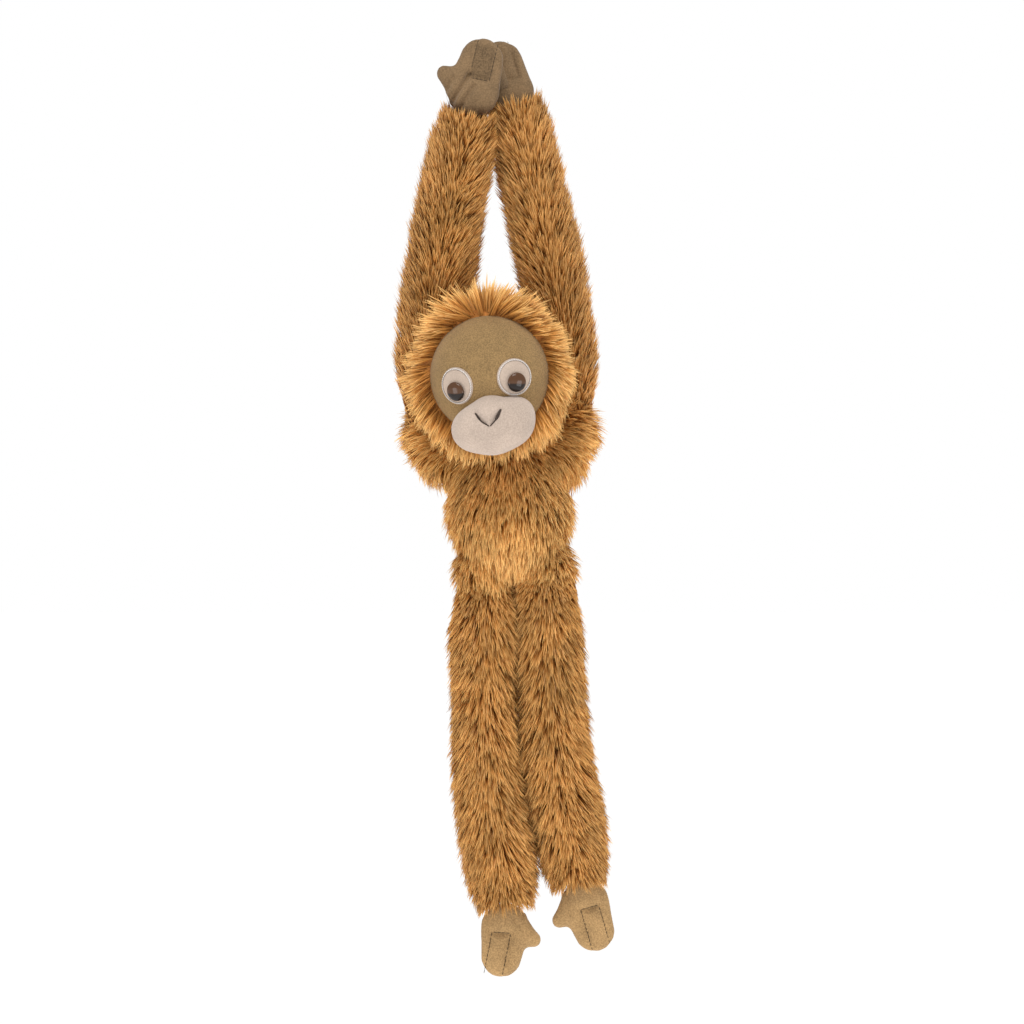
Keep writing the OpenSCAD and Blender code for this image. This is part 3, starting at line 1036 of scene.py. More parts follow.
@dataclass
class Limb:
    """A stuffed tube of long pile in three lengths, each sewn on and reaching across at most one joint.

    Args:
        side: the toy's own.
        kind: "arm" or "leg".
        joints: the names of its three joints, without the side.
        bodies: the names of its three bodies after the torso, without the side.
        radii: the cover's radius at points spread evenly from its root to its end.
        into_body: how far the tube starts before its first joint.
        short: how far before its last joint it ends, or below 0 to go on past it.
        seed: starts the source of chance.
        inner: how much fuller the root is on its inner side, as a share of the radius.
        lean: how far its end is moved to meet the mitt.
    """

    side: Side
    kind: str
    joints: tuple
    bodies: tuple
    radii: tuple
    into_body: float
    short: float
    seed: int
    inner: float = 0.0
    lean: tuple = (0.0, 0.0, 0.0)
    rings: int = 72
    around: int = 36
    overlap: float = 3 * MM
    parting: float = 0.6

    def __post_init__(self) -> None:
        """Finds the joint centres and the middle line through them."""
        self.centres = [joint_at(f"{self.side.value}_{j}") for j in self.joints]
        a, b, c = self.centres
        root, end = a - unit(b - a) * self.into_body, c - unit(c - b) * self.short + self.lean
        self.line = spline(np.array([root, a, b, end]), self.rings)
        steps = np.linalg.norm(np.diff(self.line, axis=0), axis=1)
        self.run = np.concatenate([[0], np.cumsum(steps)])

    def body(self, number: int) -> str:
        """Gives the name of a body, where 0 is the torso."""
        return "torso" if number == 0 else f"{self.side.value}_{self.bodies[number - 1]}"

    def run_at(self, place: Array) -> float:
        """Gives how far along the middle line a place is."""
        return float(self.run[np.argmin(np.linalg.norm(self.line - place, axis=1))])

    def tube(self, start: float, end: float, closed: bool = True) -> Shape:
        """Makes the cover from start to end, lengths along the middle line.

        A ring's radius is the limb's there plus slow lumps: r (1 + 0.05 sin(2a + 9s) + 0.03 sin(3a - 14s)),
        with a round the ring and s along the limb. It is fuller at the root's inner side and draws in at the
        end. Rounded ends close it, but the pile's own tube is left open so that no blade stands on an end.

        Args:
            start: where it starts.
            end: where it ends.
            closed: rounds its ends and closes them.

        Returns:
            The tube.
        """
        s = np.linspace(start, end, max(12, int((end - start) / (2.2 * MM))))
        middle = np.stack([np.interp(s, self.run, self.line[:, k]) for k in range(3)], 1)
        way = unit(np.gradient(middle, axis=0))
        side = unit(np.cross(way, [0.0, 1.0, 0.0]))
        front = np.cross(side, way)
        a = np.linspace(0, 2 * np.pi, self.around, endpoint=False)[None, :, None]
        share = (s / self.run[-1])[:, None, None]
        radius = np.interp(share, np.linspace(0, 1, len(self.radii)), self.radii)
        lumps = 1 + 0.05 * np.sin(2 * a + 9 * share + self.seed) + 0.03 * np.sin(3 * a - 14 * share)
        inner = np.clip(-self.side.sign * np.cos(a), 0, 1) * (1 - smoothstep(share, 0.05, 0.32))
        lumps = lumps + self.inner * inner
        lumps = lumps * (0.9 + 0.1 * smoothstep(self.run[-1] - s, 0, 8 * MM)[:, None, None])
        way_out = np.cos(a) * side[:, None] + np.sin(a) * front[:, None]
        if not closed:
            places = middle[:, None] + radius * lumps * way_out
            return Shape(places.reshape(-1, 3), grid_quads(len(s), self.around, True))
        edge = np.minimum(s - start, end - s)[:, None, None] / (4 * MM)
        rounded = np.sqrt(1 - (1 - np.clip(edge, 0, 1)) ** 2) * 0.75 + 0.25
        return capped_grid(middle[:, None] + radius * lumps * rounded * way_out)

    def stretches(self) -> list[tuple[str, float, float, "str | Bend", list[str]]]:
        """Lists the lengths of tube: name, start, end, what it follows and the CAD nodes it stands for.

        Returns:
            The three stretches, from the body outwards.
        """
        first, middle, last = (self.run_at(c) for c in self.centres)
        upper, lower = (first + middle) / 2, (middle + last) / 2
        soft = 16 * MM

        def bend(number: int, where: int, before: float, after: float) -> Bend:
            """Gives the stretch between a body and the next, from before a joint to after it."""
            centre = self.centres[where]
            way = unit(self.centres[min(where + 1, 2)] - self.centres[max(where - 1, 0)])
            return Bend(
                self.body(number), self.body(number + 1),
                tuple(centre - way * before), tuple(centre + way * after),
            )

        near, far = (f"{self.side.value}_{body}" for body in self.bodies[:2])
        middle_name = f"{self.side.value}_{self.kind}_bend"
        ends = [far + "_sleeve", far + "_stuffing"]
        return [
            (near, 0.0, upper, bend(0, 0, 6 * MM, soft), [near + "_sleeve"]),
            (middle_name, upper - self.overlap, lower, bend(1, 1, soft, soft), [near + "_stuffing"]),
            (far, lower - self.overlap, float(self.run[-1]), self.body(2), ends),
        ]

    def flow(self, places: Array, normals: Array) -> Array:
        """Combs the pile along the limb to its end, and out to both sides of a parting down its front.

        Args:
            places: where the pile stands.
            normals: of the cover there.

        Returns:
            The way the pile lies, of any length.
        """
        nearest = np.argmin(np.linalg.norm(places[:, None] - self.line[None], axis=2), axis=1)
        way = unit(np.gradient(self.line, axis=0))[nearest]
        across = unit(np.cross(way, [0.0, 1.0, 0.0]))
        off = np.sum((places - self.line[nearest]) * across, axis=1, keepdims=True) / (12 * MM)
        return way + self.parting * off * across

    def trim(self, places: Array) -> Array:
        """Gives the pile's length as a share of its full length: shorter towards the limb's two seams.

        Args:
            places: where the pile stands.

        Returns:
            One share for each place.
        """
        root, end = (np.linalg.norm(places - self.line[k], axis=1) for k in (0, -1))
        at_root, at_end = smoothstep(root, 8 * MM, 32 * MM), smoothstep(end, 8 * MM, 30 * MM)
        return (0.76 + 0.24 * at_end) * (0.3 + 0.7 * at_root)

    def build(self, cut: PileCut) -> None:
        """Makes the three covers and the pile on each, cut as cut says.

        Args:
            cut: the pile's cut.
        """
        for number, (name, start, end, to, nodes) in enumerate(self.stretches()):
            add_piece(name + "_cover", self.tube(start, end), BACKING, to, nodes)
            # Each length's pile is the darker copy of the long pile, whose darkening is painted shade.
            pile = grow(
                name + "_pile", self.tube(start, end, closed=False), cut, self.flow, self.seed * 10 + number,
                trim=self.trim, finish=SHADED_LIMB_PILE,
            )
            belong(pile, to)


# ---------------------------------------------------------------- torso


@dataclass(frozen=True)
class Ball:
    """A ball of stuffing that a body form is blended from."""

    centre: tuple
    radius: float


def form_depth(places: Array, balls: Sequence[Ball], soften: float) -> Array:
    """Signed distance to balls blended into one form: -k log(sum of exp(-d/k)), negative inside.

    Args:
        places: any number of places.
        balls: what the form is blended from.
        soften: k, how softly they run into each other.

    Returns:
        One distance for each place.
    """
    d = np.stack([np.linalg.norm(places - np.array(b.centre), axis=-1) - b.radius for b in balls])
    low = d.min(0)
    return low - soften * np.log(np.exp(-(d - low) / soften).sum(0))


@dataclass
class Torso:
    """The chest, belly and shoulders as one stuffed bag of long pile.

    Args:
        cut: the pile's cut.
        soften: how softly the balls of the form run into each other.
    """

    cut: PileCut
    soften: float = 5 * MM

    def __post_init__(self) -> None:
        """Places the balls of the form from the CAD chest and the limb joints."""
        low, high = box_of("torso_skin")
        mid = (low + high) / 2
        right, left = (joint_at(f"{side.value}_shoulder_spread") for side in Side)
        right_hip, left_hip = (joint_at(f"{side.value}_hip_swing") for side in Side)
        chest = np.array([mid[0] + 5 * MM, mid[1] - 1 * MM, low[2] + 30 * MM])
        self.centre = chest + np.array([0, 2 * MM, 6 * MM])
        stuffed = (
            (chest, (0, 0, 0), 25), (chest, (1, 0, -7), 22), (chest, (-2, 3, 22), 21),
            (right, (16, -3, -19), 10), (left, (-14, -3, -20), 11),
            (right, (8, 0, -6), 8.5), (left, (-6, 0, -5), 8.5),
            (left_hip, (0, 0, 14), 10), (right_hip, (0, 0, 13), 10.5),
        )
        self.balls = [Ball(tuple(near + np.array(off) * MM), size * MM) for near, off, size in stuffed]
        self.skin = ray_skin(lambda p: form_depth(p, self.balls, self.soften), self.centre, 72, 96)

    def flow(self, places: Array, normals: Array) -> Array:
        """Combs the pile down and in towards the middle of the belly, and out at the shoulders.

        Args:
            places: where the pile stands.
            normals: of the cover there.

        Returns:
            The way the pile lies, of any length.
        """
        local = (places - self.centre) / (30 * MM)
        high = smoothstep(local[:, 2], 0.3, 1.1)[:, None]
        down = np.stack([-0.32 * local[:, 0], -0.1 * local[:, 1], -np.ones(len(places))], 1)
        outward = np.stack([1.1 * local[:, 0], 0 * local[:, 1] - 0.2, -0.7 + 0 * local[:, 2]], 1)
        return down * (1 - high) + outward * high

    def trim(self, places: Array) -> Array:
        """Leaves the pile longer at the hem over the legs, and shorter out over the hips.

        Args:
            places: where the pile stands.

        Returns:
            One share for each place.
        """
        low = smoothstep(self.centre[2] - places[:, 2], 18 * MM, 34 * MM)
        return 1 + low * (0.15 - 0.35 * smoothstep(np.abs(places[:, 0] - self.centre[0]), 8 * MM, 18 * MM))

    def build(self) -> None:
        """Makes the cover and the pile, the pile in two pieces to keep each small."""
        inside = ("torso_skin", "torso_stuffing", "neck_thread")
        add_piece("torso_cover", self.skin, BACKING, "torso", inside)
        for name, front in (("torso_front_pile", -1.0), ("torso_back_pile", 1.0)):

            def half(places: Array, front: float = front) -> Array:
                """Keeps the pile of one half."""
                return ((places[:, 1] - self.centre[1]) * front > 0).astype(float)

            seed = TORSO_SEED + int(front)
            pile = grow(name, self.skin, self.cut, self.flow, seed, keep=half, trim=self.trim)
            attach(pile, "torso")


# ---------------------------------------------------------------- hands and feet


@dataclass
class Mitt:
    """A hand or foot: two faces of velour sewn round their edge, stuffed, with finger lines sewn through.

    It is drawn flat with its fingers along +Y, its thumb along +X and its seen face up, then set at its
    joint.

    Args:
        name: "right_hand" and so on.
        joint: the joint that it turns about.
        palm: radius of the palm.
        length: from the wrist to the finger ends.
        shift: from the joint to the middle of the wrist end.
        turn: about the line of sight, in degrees.
        flips: -1 for each of its own axes that is turned over, else 1.
        shown: CAD nodes that it stands for.
        sewn_line: CAD node of its finger lines.
        finish: its velour.
        patch_shift: where across the palm its fastener is, or None for a foot.
        folds: soft folds as (from, to, depth), in palm radii and millimetres.
        thickness: of the stuffed mitt before it swells.
        patch_side: of the square fastener.
        tip_share: radius of the finger end, of the palm's.
        root_share: where the finger lines start, of the length.
        line_lean: how far the finger lines lean across at their ends.
        stitch: length of a stitch.
        stitch_gap: between stitches.
        thread: radius of the thread.
        stuffing: how hard it is stuffed.
    """

    name: str
    joint: str
    palm: float
    length: float
    shift: tuple
    turn: float
    flips: tuple
    shown: tuple
    sewn_line: str
    finish: Finish
    patch_shift: Optional[float] = None
    folds: tuple = ()
    thickness: float = 8.4 * MM
    patch_side: float = 16 * MM
    tip_share: float = 0.84
    root_share: float = 0.5
    line_lean: float = -0.5 * MM
    stitch: float = 2.2 * MM
    stitch_gap: float = 0.12 * MM
    thread: float = 0.18 * MM
    stuffing: Stuffing = Stuffing()

    def outline(self, p: Array) -> Array:
        """Signed distance to the outline: two hulls of two circles, for palm and fingers and for the thumb.

        Args:
            p: places in the flat frame.

        Returns:
            One distance for each place.
        """
        r, end = self.palm, self.length

        def hull(a: tuple, b: tuple, ra: float, rb: float) -> Array:
            """Signed distance to the hull of two circles."""
            a_, b_ = np.array(a), np.array(b)
            span = np.linalg.norm(b_ - a_)
            way = (b_ - a_) / span
            q = p[..., :2] - a_
            y = q @ way
            x = np.abs(q @ np.array([way[1], -way[0]]))
            lean = (ra - rb) / span
            level = math.sqrt(1 - lean * lean)
            k = -lean * x + level * y
            ends = np.where(k < 0, np.hypot(x, y) - ra, np.hypot(x, y - span) - rb)
            return np.where((k > 0) & (k < level * span), level * x + lean * y - ra, ends)

        tip = self.tip_share * r
        body = hull((0, r + 2 * MM), (-1 * MM, end - tip), r, tip)
        thumb = hull((0, r + 1 * MM), (1.2 * r, 1.55 * r), 0.8 * r, 0.32 * r)
        soft = 1.2 * MM
        return -soft * np.logaddexp(-body / soft, -thumb / soft)

    def depth(self, p: Array) -> Array:
        """Negative inside the mitt, whose half height is t sqrt(1 - (1 - d / w)^2) at d from its edge.

        Args:
            p: places in the flat frame.

        Returns:
            One number for each place.
        """
        edge = np.clip(-self.outline(p) / (6.5 * MM), 0, 1)
        half = self.thickness / 2 * np.sqrt(1 - (1 - edge) ** 2)
        return np.where(self.outline(p) < 0, np.abs(p[..., 2]) - half, 1.0)

    def lines(self) -> list[tuple]:
        """Lists the lines sewn through: two between the fingers and one across their roots.

        Returns:
            The two ends of each line, in the flat frame.
        """
        start, end = self.root_share * self.length, 0.97 * self.length
        left, right = -0.52 * self.palm, 0.24 * self.palm
        lean = self.line_lean
        between = [((x, start), (x + lean, end)) for x in (left, right)]
        return between + [((left, start), (right, start))]

    def at_lines(self, p: Array) -> Array:
        """Gives each place's distance to the nearest sewn line."""
        return np.min([segment_distance(p, a, b) for a, b in self.lines()], axis=0)

    def patch_middle(self) -> float:
        """Gives how far up the palm the middle of the fastener is."""
        return 0.42 * self.length + self.patch_side / 2

    def in_patch(self, p: Array, margin: float) -> Array:
        """Tells which places are under the fastener on the palm, or within margin of it.

        Args:
            p: places in the flat frame.
            margin: how far round the fastener counts as well.

        Returns:
            One truth value for each place.
        """
        if self.patch_shift is None:
            return np.zeros(p.shape[:-1], bool)
        half, middle = self.patch_side / 2 + margin, self.patch_middle()
        off = np.abs(p[..., :2] - np.array([self.patch_shift, middle]))
        return (off < half).all(-1) & (p[..., 2] < 0)

    def skin(self) -> Shape:
        """Makes the stuffed skin in the flat frame: form, quilting, cloth under pressure, then folds.

        Returns:
            The skin in the flat frame, of quads.
        """
        middle = np.array([0.1 * self.palm, 1.3 * self.palm, 0])
        base = ray_skin(self.depth, middle, 110, 150, 0.08)
        pull = 1 - 0.5 * np.exp(-((self.at_lines(base.verts) / (1.5 * MM)) ** 2))
        base.verts[:, 2] *= np.where(self.in_patch(base.verts, 0), 1.0, pull)

        def sewn(p: Array) -> Array:
            """Holds the cloth at its edge seam, its finger lines and under the fastener."""
            seam = (np.abs(p[:, 2]) < 0.5 * MM) & (self.outline(p) > -1.5 * MM)
            return seam | (self.at_lines(p) < 0.8 * MM) | self.in_patch(p, -1 * MM)

        cover = self.stuffing.swell(base, sewn)
        p, up = cover.verts, cover.normals()
        drop = np.zeros(len(p))
        for a, b, low in self.folds:
            away = segment_distance(p, np.array(a) * self.palm, np.array(b) * self.palm)
            drop += low * MM * np.exp(-((away / (1.4 * MM)) ** 2)) * (p[:, 2] > 0)
        seam = 0.5 * MM * np.exp(-((p[:, 2] / (0.5 * MM)) ** 2))
        seam *= smoothstep(self.outline(p), -3 * MM, -1 * MM)
        gather = 0.35 * MM * np.sin(p[:, 0] / (0.62 * MM)) * (1 - smoothstep(p[:, 1], 4 * MM, 17 * MM))
        p -= up * (drop + seam + gather)[:, None]
        return cover

    def set_at_joint(self, p: Array) -> Array:
        """Takes places from the flat frame to the toy: turned over, stood up, turned and moved to the joint.

        Args:
            p: places in the flat frame.

        Returns:
            Their places on the toy at rest.
        """
        q = p * np.array(self.flips)
        x, y, z = q[:, 0], -q[:, 2], q[:, 1]
        c, s = math.cos(math.radians(self.turn)), math.sin(math.radians(self.turn))
        return np.stack([x * c + z * s, y, -x * s + z * c], 1) + joint_at(self.joint) + np.array(self.shift)

    def set_shape(self, shape: Shape) -> Shape:
        """Takes a whole shape to the toy, and turns its faces round where the flips mirror it.

        Args:
            shape: in the flat frame.

        Returns:
            The same shape on the toy.
        """
        mirrored = np.prod(self.flips) < 0
        turn = (lambda f: f[:, ::-1]) if mirrored else (lambda f: f)
        return Shape(self.set_at_joint(shape.verts), turn(shape.quads), turn(shape.tris), shape.uv)

    def build(self) -> None:
        """Makes the skin, the finger stitches and, on a hand, the fastener."""
        cover = self.skin()
        # The Strand map's u tells how much darker the velour is over the stitched square.
        darkening = self.darker_square(cover.verts)
        cover.uv = np.stack([darkening, np.zeros_like(darkening)], 1)
        world = self.set_shape(cover)
        add_piece(self.name + "_velour", world, self.finish, self.name, self.shown)
        runs = []
        top = cover.verts[cover.verts[:, 2] > 0.4 * MM]
        for a, b in self.lines():
            t = np.linspace(0, 1, 24)[:, None]
            flat = np.array(a) * (1 - t) + np.array(b) * t
            near = np.argmin(np.linalg.norm(flat[:, None] - top[None, :, :2], axis=2), axis=1)
            height = np.convolve(np.pad(top[near, 2], 2, "edge"), np.ones(5) / 5, "valid")
            keep = height > 0.7 * MM
            path = np.column_stack([flat, height + 0.05 * MM])[keep]
            up = np.tile([0.0, 0.0, 1.0], (len(path), 1))
            runs.append(sew(path, up, self.stitch, self.stitch_gap, self.thread))
        stitches = self.set_shape(join(runs))
        add_piece(self.sewn_line, stitches, SEAM_THREAD, self.name, (self.sewn_line,))
        if self.patch_shift is not None:
            self.fastener()

    def darker_square(self, p: Array) -> Array:
        """Gives how much darker the velour is: 1 over the seen face's stitched square on a hand, else 0.

        Args:
            p: places in the flat frame.

        Returns:
            One number for each place.
        """
        if self.patch_shift is None:
            return np.zeros(len(p))
        (left, low), (_, high) = self.lines()[0]
        right = self.lines()[1][0][0]
        inside = smoothstep(p[:, 0], left, left + 1 * MM) * (1 - smoothstep(p[:, 0], right - 1 * MM, right))
        inside *= smoothstep(p[:, 1], low, low + 1 * MM) * (1 - smoothstep(p[:, 1], high - 5 * MM, high))
        return inside * (p[:, 2] > 0)

    def fastener(self) -> None:
        """Makes the square of tape on the palm, a rounded slab, with its hooks or its loops as short pile."""
        hooks = self.name.startswith("right")
        node, slot = ("hook_patch", "hook_tape") if hooks else ("loop_patch", "loop_tape")
        finish, cut = (HOOK_TAPE, HOOKS) if hooks else (LOOP_TAPE, LOOPS)
        half, middle = self.patch_side / 2, self.patch_middle()
        a = np.linspace(0, FULL_TURN, 64, endpoint=False)
        square = np.stack([np.cos(a), np.sin(a)], 1)
        square = square / (np.abs(square) ** 7).sum(1, keepdims=True) ** (1 / 7)
        steps = ((0.96, 0.0), (1.0, -0.1), (1.0, -0.45), (0.98, -0.55), (0.6, -0.6), (0.25, -0.6))
        rings = np.stack([
            np.column_stack([square * half * share, np.full(len(a), -self.thickness / 2 + z * MM)])
            for share, z in steps
        ])
        rings[..., :2] += [self.patch_shift, middle]
        slab = self.set_shape(capped_grid(rings[::-1]))
        add_piece(node, slab, finish, self.name, (node,))
        outward = slab.normals()
        face = self.set_at_joint(np.array([[0, 0, -1.0], [0, 0, 0]]))
        down = unit(face[0] - face[1])

        def on_face(places: Array) -> Array:
            """Keeps the hooks or loops on the slab's outer face."""
            near = np.argmin(np.linalg.norm(places[:, None] - slab.verts[None], axis=2), axis=1)
            return (outward[near] @ down > 0.9).astype(float)

        pile = grow(
            node + "_pile", slab, cut, lambda p, n: np.tile([0.2, 0.0, 1.0], (len(p), 1)), TAPE_SEED + hooks,
            keep=on_face, finish=finish,
        )
        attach(pile, self.name)


# ---------------------------------------------------------------- head

EYE_TURN = math.radians(29.5)
EYE_DROP = math.radians(10)
PATCH_DROP = math.radians(5.5)


@dataclass(frozen=True)
class HeadFrame:
    """Where the head is: its centre and the directions of its own right-to-left, back and up axes.

    Args:
        centre: of the skull.
        axes: rows are the head's own x, y and z axes in the frame.
    """

    centre: Array
    axes: Array

    def out(self, local: Array) -> Array:
        """Takes places in the head's own axes, in metres from its centre, to the frame."""
        return self.centre + np.asarray(local, float) @ self.axes

    def turn(self, local: Array) -> Array:
        """Takes directions in the head's own axes to the frame."""
        return np.asarray(local, float) @ self.axes

    def back(self, places: Array) -> Array:
        """Takes places in the frame to the head's own axes."""
        return (places - self.centre) @ self.axes.T


def head_frame() -> HeadFrame:
    """Finds the head's centre from its stuffing, and its axes from the two eyes, which look down a little.

    Returns:
        The head's frame at rest.
    """
    centre = np.mean(box_of("head_stuffing"), axis=0)
    right, left = (np.mean(box_of(f"{side.value}_eye"), axis=0) for side in Side)
    across = unit(left - right)
    forward = unit(flatten_to((left + right) / 2 - centre, across))
    drop = math.atan(math.tan(EYE_DROP) / math.cos(EYE_TURN))
    level = forward * math.cos(drop) + np.cross(across, -forward) * math.sin(drop)
    return HeadFrame(centre, np.stack([across, -level, np.cross(across, -level)]))


def sight(side: Side, drop: float) -> Array:
    """Gives the direction, in the head's own axes, of an eye or its patch.

    Args:
        side: the toy's own.
        drop: angle below level.

    Returns:
        A direction of length one.
    """
    c = math.cos(drop)
    return np.array([side.sign * c * math.sin(EYE_TURN), -c * math.cos(EYE_TURN), -math.sin(drop)])


@dataclass
class Eye:
    """A felt patch with a satin-stitched rim and the plastic eye fastened through it.

    Args:
        side: the toy's own.
        place: the head's frame.
        skull: radius of the face under it.
    """

    side: Side
    place: HeadFrame
    skull: float
    patch_radius: float = 10.2 * MM
    rim_inset: float = 0.95 * MM
    rim_thread: float = 0.34 * MM
    felt: float = 0.9 * MM
    eye_radius: float = 5.3 * MM
    dome: float = 2.4 * MM
    shank_radius: float = 1.8 * MM

    def basis(self, drop: float) -> tuple[Array, Array, Array]:
        """Gives the sight line and two directions across it, the first level and the second upward.

        Args:
            drop: angle of the sight line below level.

        Returns:
            The three directions, each of length one.
        """
        out = sight(self.side, drop)
        level = unit(np.cross([0.0, 0.0, 1.0], out))
        return out, level, np.cross(out, level)

    def build(self) -> None:
        """Makes the patch, its rim and the eye.

        The patch is a cap on the face: place = (R + lift) (cos(b) out + sin(b) around), with b the angle from
        its middle. Its lift is the felt's thickness, with a groove inside the rim and a rolled edge.
        """
        name = self.side.value
        out, level, above = self.basis(PATCH_DROP)
        t = np.linspace(0, FULL_TURN, 96, endpoint=False)[None, :, None]
        around = np.cos(t) * level + np.sin(t) * above
        edge = self.patch_radius / self.skull
        angle = np.concatenate([np.linspace(0.02, 0.93, 22), [0.97, 1.0, 1.0, 0.97]])[:, None, None] * edge
        lift = np.concatenate([np.ones(22), [0.9, 0.55, 0.0, -1.0]])[:, None, None] * self.felt
        inner = (self.patch_radius - self.rim_inset) / self.skull
        groove = np.exp(-(((angle - inner) * self.skull / (0.7 * MM)) ** 2))
        dip = 0.35 * MM * groove * (lift > 0.5 * self.felt)
        puff = 0.25 * MM * np.cos(np.clip(angle / inner, 0, 1) * np.pi / 2)
        skin = (np.cos(angle) * out + np.sin(angle) * around) * (self.skull + lift - dip + puff)
        felt = capped_grid(self.place.out(skin))
        add_piece(name + "_eye_felt", felt, FELT, "head", (name + "_eye_patch",))
        rim = (np.cos(inner) * out + np.sin(inner) * around[0]) * (self.skull + self.felt - 0.05 * MM)
        turns = self.place.out(rim)
        stitched = thread_tube(turns, unit(turns - self.place.centre), self.rim_thread, closed=True)
        add_piece(name + "_eye_rim", stitched, RIM_THREAD, "head")
        self.plastic(name)

    def plastic(self, name: str) -> None:
        """Makes the eye: a low dome with a rolled edge, on a shank that goes through the face.

        The profile, from the middle of the dome, is radius r sin(a) and height h cos(a), then the edge
        rolls in.

        Args:
            name: the eye's side.
        """
        out, level, above = self.basis(EYE_DROP)
        a = np.linspace(0.03, np.pi / 2, 26)
        foot = self.skull + self.felt + 0.3 * MM
        r = np.concatenate([np.sin(a) * self.eye_radius, [0.97 * self.eye_radius] + [self.shank_radius] * 2])
        h = np.concatenate([foot + 0.5 * MM + self.dome * np.cos(a), [foot, foot, foot - 9 * MM]])
        t = np.linspace(0, FULL_TURN, 64, endpoint=False)[None, :, None]
        rings = h[:, None, None] * out + r[:, None, None] * (np.cos(t) * level + np.sin(t) * above)
        shape = capped_grid(self.place.out(rings))
        # The uv lets the finish lay a painted reflection on the eye's upper half.
        seen = np.stack([rings @ level, rings @ above], -1).reshape(-1, 2) / self.eye_radius
        shape.uv = np.concatenate([seen, np.zeros((2, 2))])
        add_piece(name + "_plastic_eye", shape, EYE_GLOSS, "head", (name + "_eye",))
        refinish(name + "_eye_washer", WASHER)


@dataclass
class Muzzle:
    """The stuffed muzzle, with a nose raised over two satin stitches and a seam where it meets the face.

    Args:
        place: the head's frame.
        middle: of the muzzle in the head's own axes.
        nose_tip: foot of the nose, where its two stitches meet, from the middle.
        nose_half: half the nose's width at the top of the stitches.
        nose_rise: height of the stitches.
    """

    place: HeadFrame
    middle: tuple = (0.0, -27 * MM, -26.5 * MM)
    nose_tip: tuple = (0.0, -0.6 * MM)
    nose_half: float = 7.0 * MM
    nose_rise: float = 8.0 * MM
    soften: float = 3.2 * MM
    stuffing: Stuffing = Stuffing(voxel=1.2 * MM, pressure=4.0, cap=1.0 * MM)

    def depth(self, p: Array) -> Array:
        """Signed distance to the muzzle's form: cheeks, chin and the bridge of the nose, blended.

        Args:
            p: places from the muzzle's middle.

        Returns:
            One distance for each place.
        """
        sizes = (
            (-11.2, -1.5, -1.2, 11.0), (11.0, -1.5, -1.2, 11.0), (0.0, -1.0, -3.6, 11.5),
            (0.0, -3.0, 7.5, 6.8), (0.0, 4.0, 0.0, 12.5), (15.0, 0.5, 4.5, 6.8),
        )
        balls = [Ball((x * MM, y * MM, z * MM), r * MM) for x, y, z, r in sizes]
        return form_depth(p, balls, self.soften)

    def stitch(self, side: float) -> tuple[Array, Array]:
        """Gives the two ends of a nose stitch, across and up from the middle.

        Args:
            side: -1 or 1.

        Returns:
            Its lower and its upper end.
        """
        tip = np.array(self.nose_tip)
        return tip + [side * 0.3 * MM, 0.0], tip + [side * self.nose_half, self.nose_rise]

    def skin(self) -> Shape:
        """Makes the stuffed skin, in the head's own axes from the muzzle's middle.

        Returns:
            The skin, of quads.
        """
        base = ray_skin(self.depth, np.zeros(3), 84, 110, 0.05)

        def sewn(p: Array) -> Array:
            """Holds the cloth at the nose stitches and where the face covers it."""
            front = p[:, 1] < 0
            near = np.min([segment_distance(p[:, [0, 2]], *self.stitch(s)) for s in (-1, 1)], axis=0)
            return (front & (near < 0.7 * MM)) | (p[:, 1] > 3 * MM)

        cover = self.stuffing.swell(base, sewn)
        p, up = cover.verts, cover.normals()
        flat = p[:, [0, 2]]
        front = smoothstep(-p[:, 1], 4 * MM, 9 * MM)
        slope = self.nose_half / self.nose_rise
        inside = (flat[:, 1] - self.nose_tip[1]) * slope - np.abs(flat[:, 0])
        top = 1 - smoothstep(flat[:, 1], 7 * MM, 15 * MM)
        nose = 1.9 * MM * smoothstep(inside, -0.3 * MM, 4.5 * MM) * top
        near = np.min([segment_distance(flat, *self.stitch(s)) for s in (-1, 1)], axis=0)
        crease = 0.9 * MM * np.exp(-((near / (0.8 * MM)) ** 2))
        seam = 0.45 * MM * np.exp(-(((p[:, 1] + 2.5 * MM) / (0.5 * MM)) ** 2))
        p += up * (front * (nose - crease) - seam)[:, None]
        return cover

    def build(self) -> None:
        """Makes the muzzle and its two nose stitches, each of a thin thread with a thicker upper end."""
        cover = self.skin()
        cover.verts += np.array(self.middle)
        world = Shape(self.place.out(cover.verts), cover.quads)
        inside = ("muzzle_panel", "muzzle_stuffing")
        add_piece("muzzle_velour", world, MUZZLE_VELOUR, "head", inside)
        seen = cover.verts[cover.verts[:, 1] < self.middle[1]]
        threads = []
        for side, thick, start in ((-1, 0.42, 0.0), (1, 0.46, 0.0), (1, 0.95, 0.42), (-1, 0.6, 0.5)):
            a, b = self.stitch(side)
            t = np.linspace(start, 1, 28)[:, None]
            line = a * (1 - t) + b * t + np.sin(np.pi * t) * np.array([side * 0.5 * MM, -0.7 * MM])
            line = line + np.array(self.middle)[[0, 2]]
            near = np.argmin(np.linalg.norm(line[:, None] - seen[None][:, :, [0, 2]], axis=2), axis=1)
            depth = np.convolve(np.pad(seen[near, 1], 3, "edge"), np.ones(7) / 7, "valid")
            path = np.stack([line[:, 0], depth - 0.12 * MM, line[:, 1]], 1)
            swell = thick * MM * (0.45 + 0.55 * np.sin(np.pi * np.linspace(0, 1, len(path))) ** 0.6)
            up = self.place.turn(np.tile([0, -1.0, 0], (len(path), 1)))
            threads.append(thread_tube(self.place.out(path), up, swell))
        add_piece("nose_stitches", join(threads), NOSTRIL_THREAD, "head", ("nose_stitching",))


